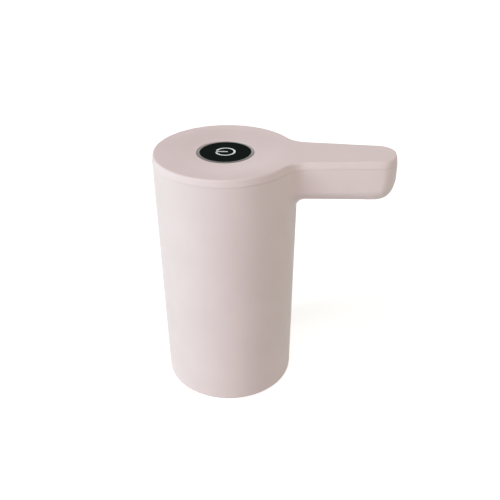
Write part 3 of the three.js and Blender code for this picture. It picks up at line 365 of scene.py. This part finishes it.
def cut_with(obj, maker):
    """Cuts a closed mesh out of an object and applies it."""
    cutter = linked_object("cutter", maker)
    cutter_mesh = cutter.data
    modifier = obj.modifiers.new("cut", "BOOLEAN")
    modifier.operation = "DIFFERENCE"
    modifier.solver = "EXACT"
    modifier.object = cutter
    depsgraph = bpy.context.evaluated_depsgraph_get()
    cut_mesh = bpy.data.meshes.new_from_object(obj.evaluated_get(depsgraph))
    obj.modifiers.clear()
    old = obj.data
    obj.data = cut_mesh
    bpy.data.meshes.remove(old)
    bpy.data.objects.remove(cutter)
    bpy.data.meshes.remove(cutter_mesh)
    finish_shading(obj)


def capped_ring(bm, rings):
    """A solid between rings, with a flat face over the first and the last."""
    rows = skin(bm, rings, closed=False)
    bm.faces.new(rows[0])
    bm.faces.new(rows[-1])


# Materials

FULL_LEVEL = 255
SRGB_KNEE = 0.04045
SRGB_SLOPE = 12.92
SRGB_OFFSET = 0.055
SRGB_POWER = 2.4
DRIFT_SCALE = 38
DRIFT_STOPS = (0.35, 0.65)
GRAIN_SPREAD = 0.12
GRAIN_HEIGHT = 0.02 * MM
MARK_SCALE = 1500
MARK_STOPS = (0.3, 0.7)
MARK_SPREAD = 0.3
MARK_BUMP = 0.08
MARK_HEIGHT = 0.01 * MM


def material(name):
    made = bpy.data.materials.new(name)
    made.use_nodes = True
    nodes = made.node_tree.nodes
    return made, nodes, made.node_tree.links, nodes["Principled BSDF"]


def srgb(red, green, blue):
    """A colour written as it shows, 0 to 255, as the linear values that a shader takes."""
    def linear(value):
        share = value / FULL_LEVEL
        if share <= SRGB_KNEE:
            return share / SRGB_SLOPE
        return ((share + SRGB_OFFSET) / (1 + SRGB_OFFSET)) ** SRGB_POWER
    return (linear(red), linear(green), linear(blue), 1)


def noise(nodes, links, scale, detail=4, stretch=(1, 1, 1)):
    """Noise over the object's own coordinates, in features per metre."""
    coordinates = nodes.new("ShaderNodeTexCoord")
    mapping = nodes.new("ShaderNodeMapping")
    mapping.inputs["Scale"].default_value = stretch
    texture = nodes.new("ShaderNodeTexNoise")
    texture.inputs["Scale"].default_value = scale
    texture.inputs["Detail"].default_value = detail
    links.new(coordinates.outputs["Object"], mapping.inputs["Vector"])
    links.new(mapping.outputs["Vector"], texture.inputs["Vector"])
    return texture


def ramp(nodes, links, source, stops):
    made = nodes.new("ShaderNodeValToRGB")
    elements = made.color_ramp.elements
    for element, (place, colour) in zip(elements, stops):
        element.position = place
        element.color = colour
    links.new(source, made.inputs["Fac"])
    return made


def add_bump(nodes, links, shader, source, strength, distance):
    bump = nodes.new("ShaderNodeBump")
    bump.inputs["Strength"].default_value = strength
    bump.inputs["Distance"].default_value = distance
    links.new(source, bump.inputs["Height"])
    links.new(bump.outputs["Normal"], shader.inputs["Normal"])


def vary_roughness(nodes, links, shader, source, rough, share):
    spread = nodes.new("ShaderNodeMapRange")
    spread.inputs["To Min"].default_value = rough * (1 - share)
    spread.inputs["To Max"].default_value = rough * (1 + share)
    links.new(source, spread.inputs["Value"])
    links.new(spread.outputs["Result"], shader.inputs["Roughness"])


def moulded(name, dark, light, rough, grain=2600, bump=0.06, gloss=0.5):
    """Moulded plastic or rubber: slow drifts of colour, and a fine grain in its bump and gloss."""
    made, nodes, links, shader = material(name)
    drift = noise(nodes, links, DRIFT_SCALE, detail=2)
    colours = ramp(nodes, links, drift.outputs["Fac"], zip(DRIFT_STOPS, (srgb(*dark), srgb(*light))))
    links.new(colours.outputs["Color"], shader.inputs["Base Color"])
    fine = noise(nodes, links, grain, detail=3)
    vary_roughness(nodes, links, shader, fine.outputs["Fac"], rough, GRAIN_SPREAD)
    add_bump(nodes, links, shader, fine.outputs["Fac"], bump, GRAIN_HEIGHT)
    shader.inputs["Specular IOR Level"].default_value = gloss
    return made


def worked_metal(name, dark, light, rough, stretch=(1, 1, 30)):
    """Metal with fine level marks, as turning leaves them."""
    made, nodes, links, shader = material(name)
    marks = noise(nodes, links, MARK_SCALE, detail=4, stretch=stretch)
    colours = ramp(nodes, links, marks.outputs["Fac"], zip(MARK_STOPS, (srgb(*dark), srgb(*light))))
    links.new(colours.outputs["Color"], shader.inputs["Base Color"])
    vary_roughness(nodes, links, shader, marks.outputs["Fac"], rough, MARK_SPREAD)
    add_bump(nodes, links, shader, marks.outputs["Fac"], MARK_BUMP, MARK_HEIGHT)
    shader.inputs["Metallic"].default_value = 1
    return made


CASING = moulded("pale_pink_casing", (227, 209, 206), (230, 212, 209), 0.45, grain=2400, bump=0.05, gloss=0.2)
GLOSS_BLACK = moulded("gloss_black", (25, 31, 29), (30, 36, 34), 0.2, grain=900, bump=0.01, gloss=0.0)
TRIM = worked_metal("trim_metal", (106, 102, 98), (130, 125, 121), 0.45, stretch=(1, 1, 12))
LIGHT_GUIDE = moulded("milky_light_guide", (222, 226, 227), (236, 239, 240), 0.3)
SILICONE = moulded("milky_silicone", (214, 214, 208), (226, 226, 221), 0.5, grain=900)
DARK_RUBBER = moulded("dark_rubber", (38, 38, 40), (52, 52, 54), 0.72, grain=1600, bump=0.15)
DARK_PLASTIC = moulded("dark_plastic", (26, 27, 29), (36, 37, 39), 0.5)
INNER_PLASTIC = moulded("inner_plastic", (204, 204, 201), (216, 216, 213), 0.5)
NYLON = moulded("white_nylon", (226, 223, 214), (238, 236, 228), 0.45)
STEEL = worked_metal("steel", (140, 142, 145), (186, 188, 190), 0.28)
COPPER = worked_metal("copper", (160, 96, 58), (208, 140, 94), 0.32)
FERRITE = moulded("ferrite", (46, 45, 46), (62, 61, 61), 0.65, grain=1200, bump=0.2)
RED_WIRE = moulded("red_insulation", (150, 24, 20), (176, 36, 30), 0.45)
BLACK_WIRE = moulded("black_insulation", (20, 20, 21), (32, 32, 33), 0.45)
CELL_WRAP = moulded("blue_shrink_wrap", (38, 92, 148), (58, 116, 172), 0.28, grain=300)
BOARD = moulded("green_board", (18, 74, 44), (32, 96, 58), 0.35, grain=500, bump=0.12)


# Casing

def bent_profile(rings, profile, angles):
    """Adds rings of a turned profile that share the casing's columns."""
    for radius, z in profile:
        rings.append(full_ring(circle_half(angles, radius, z)))


def at_height(half, z):
    return [Vector((p.x, p.y, z)) for p in half]


def foot_profile():
    rounded = arc((BASE_RADIUS - BASE_ROUND, BASE_ROUND), BASE_ROUND, 0, -90)
    lift = body_radius(BASE_ROUND) - BASE_RADIUS
    return [(radius + lift * (1 - i / ROUND_STEPS), z) for i, (radius, z) in enumerate(rounded)]


def body_shell(bm):
    rim = SEAM_ROUND
    outer, outer_rows, angles, outer_low = arm_form(0, SHELL_TOP - rim)
    inner, inner_rows, inner_angles, inner_low = arm_form(WALL, SHELL_TOP - rim)
    top = [full_ring(offset_plan(SHELL_TOP, WALL - rim)), full_ring(offset_plan(SHELL_TOP, rim))]
    skin(bm, inner[::-1] + top + outer, closed=False)
    strip(bm, outer_rows)
    strip(bm, inner_rows)
    low = []
    bent_profile(low, [(body_radius(outer_low), outer_low)], angles)
    bent_profile(low, foot_profile(), angles)
    bent_profile(low, arc((SOCKET_RADIUS + rim, rim), rim, 270, 180, RIM_STEPS), angles)
    bent_profile(low, [(SOCKET_RADIUS, SOCKET_DEPTH), (LEDGE_RADIUS, SOCKET_DEPTH)], angles)
    bent_profile(low, [(LEDGE_RADIUS, LEDGE_TOP)], angles)
    inside = [(body_radius(z) - WALL, z) for z in (LEDGE_TOP, inner_low)]
    bent_profile(low, inside, inner_angles)
    skin(bm, low, closed=False)


def slot_outline(width, height, x, z):
    """A slot with round ends, across X."""
    radius = height / 2 * SLOT_END_SHARE
    outline = []
    for cx, cz, first in ((1, 1, 0), (-1, 1, 90), (-1, -1, 180), (1, -1, 270)):
        centre = (cx * (width / 2 - radius), cz * (height / 2 - radius))
        outline += arc(centre, radius, first, first + 90)
    return [(x, y, z + up) for y, up in outline]


def port_cut(bm):
    width = USB_WIDTH + 2 * FIT_GAP
    tall = USB_HEIGHT + 2 * FIT_GAP
    outside = AXIS_X - body_radius(USB_Z)
    ends = (outside - WALL, outside + 2 * WALL)
    capped_ring(bm, [slot_outline(width, tall, x, USB_Z) for x in ends])


def outlet_cut(bm):
    low, high = ARM_UNDER - WALL, ARM_UNDER + 2 * WALL
    turned(bm, [(0, low), (GROMMET_HOLE, low), (GROMMET_HOLE, high), (0, high)], sides=HOSE_SIDES, x=PIPE_X)


def top_cover(bm):
    angles = spread_angles(ring_points(HEIGHT, 0, REACH)[1], TOP_COLUMNS)
    pocket = HEIGHT - COVER_THICKNESS
    rim = SEAM_ROUND / 2
    rings = [full_ring(at_height(offset_plan(HEIGHT, rim), SEAM_TOP))]
    rings.append(full_ring(at_height(offset_plan(HEIGHT, 0), SEAM_TOP + rim)))
    flat = (COVER_EDGE + math.sin(COVER_LEAN) * (COVER_DEPTH - COVER_EDGE)) / math.cos(COVER_LEAN)
    for i in range(ROUND_STEPS + 1):
        angle = COVER_LEAN + (math.pi / 2 - COVER_LEAN) * i / ROUND_STEPS
        inset = flat - COVER_EDGE * math.cos(angle)
        z = HEIGHT - COVER_EDGE * (1 - math.sin(angle))
        rings.append(full_ring(at_height(offset_plan(HEIGHT, inset), z)))
    rings.append(full_ring(at_height(offset_plan(HEIGHT, flat + FINE_ROUND), HEIGHT)))
    for i in range(DISH_STEPS):
        share = i / DISH_STEPS
        radius = DISH_RADIUS + (WELL_RADIUS + WELL_ROUND - DISH_RADIUS) * share
        sink = DISH_DEPTH * (1 - math.cos(math.pi * share)) / 2
        bent_profile(rings, [(radius, HEIGHT - sink)], angles)
    edge = (WELL_RADIUS + WELL_ROUND, HEIGHT - DISH_DEPTH - WELL_ROUND)
    bent_profile(rings, arc(edge, WELL_ROUND, 90, 180, SOFT_STEPS), angles)
    ledge_top = HEIGHT - WELL_DEPTH
    ledge_bottom = ledge_top - WELL_LEDGE_THICKNESS
    collar = WELL_RADIUS + COLLAR_WALL
    bent_profile(rings, [(WELL_RADIUS, ledge_top), (WELL_LEDGE_RADIUS, ledge_top)], angles)
    bent_profile(rings, [(WELL_LEDGE_RADIUS, ledge_bottom), (collar, ledge_bottom), (collar, pocket)], angles)
    tongue = WALL + FIT_GAP
    inside = tongue + TONGUE_WALL
    low = SHELL_TOP - TONGUE_DEPTH
    for inset, z in ((inside, pocket), (inside, low), (tongue, low), (tongue, SEAM_TOP)):
        rings.append(full_ring(at_height(offset_plan(HEIGHT, inset), z)))
    skin(bm, rings)


shell = new_object("casing_body", body_shell, "housing", CASING, ["body_shell"])
cut_with(shell, port_cut)
cut_with(shell, outlet_cut)
new_object("casing_cover", top_cover, "housing", CASING, ["top_cover"])


# Button

def trim_ring(bm):
    """A ring that falls away from just under the button's top to its own outer edge."""
    outer = ring_high.x - AXIS_X
    inner = CAP_RADIUS + FIT_GAP
    low, high = ring_low.z, cap_high.z - RING_STEP
    profile = [(inner, low), (outer, low)]
    outer_edge = (outer - RING_ROUND, high - RING_DROP - RING_ROUND)
    inner_edge = (inner + RING_ROUND, high - RING_ROUND)
    profile += arc(outer_edge, RING_ROUND, 0, RING_EDGE_ANGLE, RING_EDGE_STEPS)
    profile += arc(inner_edge, RING_ROUND, RING_EDGE_ANGLE, 180, RING_EDGE_STEPS)
    turned(bm, profile)


def button_cap(bm):
    top, low = cap_high.z, cap_low.z
    under = top - CAP_THICKNESS
    skirt = CAP_RADIUS - CAP_SKIRT
    profile = [(0, under), (skirt, under), (skirt, low), (CAP_RADIUS, low)]
    profile += arc((CAP_RADIUS - CAP_ROUND, top - CAP_ROUND), CAP_ROUND, 0, 90, EDGE_STEPS)
    profile += [(CAP_RADIUS / 2, top), (0, top)]
    turned(bm, profile)


def symbol_outlines(grow):
    """Closed outlines of the broken ring and the bar, about the button's middle."""
    outer = SYMBOL_RADIUS + grow
    inner = SYMBOL_RADIUS - SYMBOL_STROKE - grow
    half = SYMBOL_STROKE / 2 + grow
    bare = SYMBOL_GAP_ANGLE - grow / SYMBOL_RADIUS
    span = TURN - 2 * bare
    angles = [-math.pi + bare + span * i / SYMBOL_STEPS for i in range(SYMBOL_STEPS + 1)]
    ring = [(outer * math.cos(a), outer * math.sin(a)) for a in angles]
    ring += [(inner * math.cos(a), inner * math.sin(a)) for a in reversed(angles)]
    start, end = BAR_START - grow, BAR_END + grow
    return ring, [(start, -half), (end, -half), (end, half), (start, half)]


def outline_solid(bm, outline, low, high):
    rows = [[(AXIS_X + x, y, z) for x, y in outline] for z in (low, high)]
    capped_ring(bm, rows)


def symbol_cut(index):
    def maker(bm):
        low, high = cap_high.z - SYMBOL_CUT_DEPTH, cap_high.z + SYMBOL_CUT_ABOVE
        outline_solid(bm, symbol_outlines(0)[index], low, high)
    return maker


def light_guide(bm):
    """The flanged disc under the cap, with the ring and bar of the symbol standing on it."""
    flange_low = guide_low.z + NUB_HEIGHT
    flange_top = flange_low + FLANGE_THICKNESS
    guide_top = cap_high.z - CAP_THICKNESS - SEAT_GAP
    flange = guide_high.x - AXIS_X
    profile = [(0, guide_low.z), (NUB_RADIUS, guide_low.z), (NUB_RADIUS, flange_low), (flange, flange_low)]
    profile += [(flange, flange_top), (GUIDE_RADIUS, flange_top), (GUIDE_RADIUS, guide_top), (0, guide_top)]
    turned(bm, profile)
    for outline in symbol_outlines(-SYMBOL_GAP):
        outline_solid(bm, outline, guide_top - SEAT_GAP, cap_high.z - SYMBOL_SINK)


new_object("bright_ring", trim_ring, "housing", TRIM, ["button_trim_ring"])
cap = new_object("black_button", button_cap, "button", GLOSS_BLACK, ["button_cap"])
for part in (0, 1):
    cut_with(cap, symbol_cut(part))
new_object("power_symbol", light_guide, "button", LIGHT_GUIDE, ["symbol_light_guide"])


# Neck socket, outlet and charging socket

def neck_gasket(bm):
    outer = gasket_high.x - AXIS_X
    low, high = gasket_low.z, gasket_high.z
    soft = 2 * FINE_ROUND
    profile = arc((GASKET_INNER + soft, low + soft), soft, 180, 270, SOFT_STEPS)
    profile += arc((outer - soft, low + soft), soft, 270, 360, SOFT_STEPS)
    turned(bm, profile + [(outer, high), (GASKET_INNER, high)])


def neck_sleeve(bm):
    """A sleeve whose bore has soft lips that lean on the bottle's neck."""
    outer = sleeve_high.x - AXIS_X
    low, high = sleeve_low.z, sleeve_high.z
    profile = arc((SLEEVE_INNER + FINE_ROUND, low + FINE_ROUND), FINE_ROUND, 180, 270, RIM_STEPS)
    profile += [(outer, low), (outer, high), (SLEEVE_INNER, high)]
    for i in range(LIP_COUNT, 0, -1):
        z = low + i * LIP_PITCH
        profile.append((SLEEVE_INNER, z + LIP_HEIGHT))
        profile += arc((SLEEVE_INNER - LIP_HEIGHT / 2, z), LIP_HEIGHT / 2, 90, 270, EDGE_STEPS)
        profile.append((SLEEVE_INNER, z - LIP_HEIGHT))
    turned(bm, profile)


def grommet(bm):
    inner = (pipe_high.y - pipe_low.y) / 2 + FIT_GAP
    flange = (grommet_high.x - grommet_low.x) / 2
    low, high = grommet_low.z, grommet_high.z
    flange_top = low + GROMMET_FLANGE_THICKNESS
    edge = (flange - GROMMET_ROUND, low + GROMMET_ROUND)
    profile = [(inner, high), (inner, low)] + arc(edge, GROMMET_ROUND, 270, 360, RING_EDGE_STEPS)
    profile += [(flange, flange_top), (GROMMET_HOLE - FIT_GAP, flange_top), (GROMMET_HOLE - FIT_GAP, high)]
    turned(bm, profile, sides=HOSE_SIDES, x=PIPE_X)


def spout_pipe(bm):
    """A pipe along the arm that bends down through the outlet."""
    radius = (pipe_high.y - pipe_low.y) / 2
    pipe_z = pipe_high.z - radius
    hub_x, hub_z = PIPE_X - PIPE_BEND, pipe_z - PIPE_BEND
    path = [(pipe_low.x, pipe_z, math.pi / 2)]
    for i in range(BEND_STEPS + 1):
        turn = math.pi / 2 * (1 - i / BEND_STEPS)
        path.append((hub_x + PIPE_BEND * math.cos(turn), hub_z + PIPE_BEND * math.sin(turn), turn))
    path.append((PIPE_X, pipe_low.z, 0))

    def rings(size):
        made = []
        spots = [TURN * i / HOSE_SIDES for i in range(HOSE_SIDES)]
        for x, z, turn in path:
            out = Vector((math.cos(turn), 0, math.sin(turn))) * size
            side = Vector((0, size, 0))
            made.append([Vector((x, 0, z)) + math.cos(s) * out + math.sin(s) * side for s in spots])
        return made

    skin(bm, rings(radius) + rings(radius - PIPE_WALL)[::-1])


def charging_socket(bm):
    inner_width = USB_WIDTH - 2 * USB_WALL
    inner_height = USB_HEIGHT - 2 * USB_WALL
    outer = [slot_outline(USB_WIDTH, USB_HEIGHT, x, USB_Z) for x in (usb_high.x, usb_low.x)]
    inner = [slot_outline(inner_width, inner_height, x, USB_Z) for x in (usb_low.x, usb_high.x - USB_WALL)]
    capped_ring(bm, outer + inner)


new_object("soft_neck_ring", neck_gasket, "housing", SILICONE, ["neck_gasket"])
new_object("neck_sleeve", neck_sleeve, "housing", DARK_RUBBER, ["neck_grip_sleeve"])
new_object("outlet_grommet", grommet, "housing", SILICONE, ["spout_grommet"])
new_object("outlet_pipe", spout_pipe, "housing", STEEL, ["spout_pipe"])
new_object("charging_socket", charging_socket, "housing", STEEL, ["usb_socket_shell"])


# Carried-over nodes and their materials

NODE_EDGE = 0.12 * MM
NODE_EDGE_STEPS = 2
NODE_MATERIALS = {
    "button_gasket": DARK_RUBBER,
    "switch_body": DARK_PLASTIC,
    "switch_plunger": NYLON,
    "control_board": BOARD,
    "usb_socket_tongue": DARK_PLASTIC,
    "battery_connector": NYLON,
    "motor_connector": NYLON,
    "led_left": LIGHT_GUIDE,
    "led_right": LIGHT_GUIDE,
    "base_plate": INNER_PLASTIC,
    "clamp_plate": INNER_PLASTIC,
    "pump_body": DARK_PLASTIC,
    "pump_cover": DARK_PLASTIC,
    "drive_gear": NYLON,
    "driven_gear": NYLON,
    "idler_pin": STEEL,
    "shaft_seal": DARK_RUBBER,
    "inlet_o_ring": DARK_RUBBER,
    "motor_can": STEEL,
    "motor_end_cap": DARK_PLASTIC,
    "front_bushing": COPPER,
    "magnet_left": FERRITE,
    "magnet_right": FERRITE,
    "armature": COPPER,
    "commutator": COPPER,
    "motor_shaft": STEEL,
    "brush_left": COPPER,
    "brush_right": COPPER,
    "motor_lead_negative": BLACK_WIRE,
    "motor_lead_positive": RED_WIRE,
    "battery_cell": CELL_WRAP,
    "battery_lead_positive": RED_WIRE,
    "battery_lead_negative": BLACK_WIRE,
    "outlet_tube": SILICONE,
}


def dress(node, finish):
    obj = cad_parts[node]
    obj.data.materials.clear()
    obj.data.materials.append(finish)
    obj.data.shade_smooth()
    bevel = obj.modifiers.new("soft_edges", "BEVEL")
    bevel.width = NODE_EDGE
    bevel.segments = NODE_EDGE_STEPS
    bevel.limit_method = "ANGLE"
    bevel.angle_limit = SHARP_ANGLE


for node, finish in NODE_MATERIALS.items():
    dress(node, finish)
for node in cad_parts:
    if "_screw_" in node:
        dress(node, STEEL)


# Floor, light and camera

WHITE = (1, 1, 1, 1)
FLOOR_HALF = 6
FLOOR_DROP = 0.02 * MM
FLOOR_COLOUR = srgb(236, 234, 232)
FLOOR_ROUGHNESS = 0.9
FLOOR_GLOSS = 0.1
GLOW_RANGE = (0.2, 1.0)
GLOW_LEVELS = (0.66, 0.95)
WORLD_FILL = 0.15
MIDDLE = Vector((AXIS_X, 0, HEIGHT / 2))

# Each lamp: azimuth from the camera's side, positive to the right, elevation, distance, size, power, colour
LAMPS = {
    "key": (-55, 24, 1.6, 0.7, 19.4, (0.772, 0.959, 1.0)),
    "front_high": (0, 60, 1.6, 0.8, 7.9, (1.0, 0.706, 0.779)),
    "near_right": (75, 35, 0.6, 0.3, 0.63, (0.786, 1.0, 0.758)),
    "back": (180, 3, 1.6, 0.8, 5.5, (1, 1, 1)),
}

CAMERA_SPOT = Vector((AXIS_X + 35.25 * MM, -339 * MM, 272.08 * MM))
CAMERA_DOWN = math.radians(30.04)
CAMERA_TURN = math.radians(-3.92)
CAMERA_ROLL = math.radians(-0.29)
FRAME_PIXELS = 500
FOCAL_PIXELS = 733.63
SENSOR_WIDTH = 36
NEAR_CLIP = 0.01


def direct_rays(nodes, links):
    """One for the rays of the camera, of mirrored views and of views through glass, nothing for the rest."""
    rays = nodes.new("ShaderNodeLightPath")
    total = rays.outputs["Is Camera Ray"]
    for name in ("Is Glossy Ray", "Is Transmission Ray"):
        both = nodes.new("ShaderNodeMath")
        both.operation = "MAXIMUM"
        links.new(total, both.inputs[0])
        links.new(rays.outputs[name], both.inputs[1])
        total = both.outputs["Value"]
    return total


def stage_floor():
    """A pale floor that shows white: its glow is lower near the object, where its shadow falls."""
    mesh = bpy.data.meshes.new("floor")
    bm = bmesh.new()
    bmesh.ops.create_grid(bm, x_segments=1, y_segments=1, size=FLOOR_HALF)
    bm.to_mesh(mesh)
    bm.free()
    floor = bpy.data.objects.new("floor", mesh)
    floor.location.z = -FLOOR_DROP
    bpy.context.scene.collection.objects.link(floor)
    made, nodes, links, shader = material("pale_floor")
    shader.inputs["Base Color"].default_value = FLOOR_COLOUR
    shader.inputs["Roughness"].default_value = FLOOR_ROUGHNESS
    shader.inputs["Specular IOR Level"].default_value = FLOOR_GLOSS
    place = nodes.new("ShaderNodeTexCoord")
    distance = nodes.new("ShaderNodeVectorMath")
    distance.operation = "LENGTH"
    links.new(place.outputs["Object"], distance.inputs[0])
    spread = nodes.new("ShaderNodeMapRange")
    for name, value in zip(("From Min", "From Max", "To Min", "To Max"), GLOW_RANGE + GLOW_LEVELS):
        spread.inputs[name].default_value = value
    links.new(distance.outputs["Value"], spread.inputs["Value"])
    glow = nodes.new("ShaderNodeEmission")
    glow.inputs["Color"].default_value = WHITE
    links.new(spread.outputs["Result"], glow.inputs["Strength"])
    both = nodes.new("ShaderNodeAddShader")
    seen = nodes.new("ShaderNodeMixShader")
    links.new(shader.outputs["BSDF"], both.inputs[0])
    links.new(glow.outputs["Emission"], both.inputs[1])
    links.new(direct_rays(nodes, links), seen.inputs[0])
    links.new(shader.outputs["BSDF"], seen.inputs[1])
    links.new(both.outputs["Shader"], seen.inputs[2])
    links.new(seen.outputs["Shader"], nodes["Material Output"].inputs["Surface"])
    mesh.materials.append(made)


def area_lamp(name, azimuth, elevation, distance, size, power, colour):
    """A square lamp that points at the object's middle."""
    data = bpy.data.lights.new(name, "AREA")
    data.shape = "SQUARE"
    data.size = size
    data.energy = power
    data.color = colour
    lamp = bpy.data.objects.new(name, data)
    bpy.context.scene.collection.objects.link(lamp)
    a, e = math.radians(azimuth), math.radians(elevation)
    out = Vector((math.cos(e) * math.sin(a), -math.cos(e) * math.cos(a), math.sin(e)))
    lamp.location = MIDDLE + out * distance
    lamp.rotation_euler = (-out).to_track_quat("-Z", "Y").to_euler()


def studio_world():
    """White behind the object, and a soft even fill on it."""
    world = bpy.data.worlds.new("studio")
    bpy.context.scene.world = world
    world.use_nodes = True
    nodes, links = world.node_tree.nodes, world.node_tree.links
    fill = nodes["Background"]
    fill.inputs["Color"].default_value = WHITE
    fill.inputs["Strength"].default_value = WORLD_FILL
    white = nodes.new("ShaderNodeBackground")
    white.inputs["Color"].default_value = WHITE
    mix = nodes.new("ShaderNodeMixShader")
    links.new(direct_rays(nodes, links), mix.inputs[0])
    links.new(fill.outputs["Background"], mix.inputs[1])
    links.new(white.outputs["Background"], mix.inputs[2])
    links.new(mix.outputs["Shader"], nodes["World Output"].inputs["Surface"])


def place_camera():
    data = bpy.data.cameras.new("camera")
    camera = bpy.data.objects.new("camera", data)
    scene = bpy.context.scene
    scene.collection.objects.link(camera)
    data.sensor_width = SENSOR_WIDTH
    data.lens = SENSOR_WIDTH * FOCAL_PIXELS / FRAME_PIXELS
    data.clip_start = NEAR_CLIP
    level = Vector((math.sin(CAMERA_TURN), math.cos(CAMERA_TURN), 0))
    ahead = level * math.cos(CAMERA_DOWN) - Vector((0, 0, math.sin(CAMERA_DOWN)))
    right = Vector((math.cos(CAMERA_TURN), -math.sin(CAMERA_TURN), 0))
    up = right.cross(ahead)
    turned_right = right * math.cos(CAMERA_ROLL) + up * math.sin(CAMERA_ROLL)
    turned_up = up * math.cos(CAMERA_ROLL) - right * math.sin(CAMERA_ROLL)
    axes = Matrix((turned_right, turned_up, -ahead)).transposed().to_4x4()
    camera.matrix_world = Matrix.Translation(CAMERA_SPOT) @ axes
    scene.camera = camera


stage_floor()
studio_world()
for name, settings in LAMPS.items():
    area_lamp(name, *settings)
place_camera()
bpy.context.scene.view_settings.view_transform = "Standard"
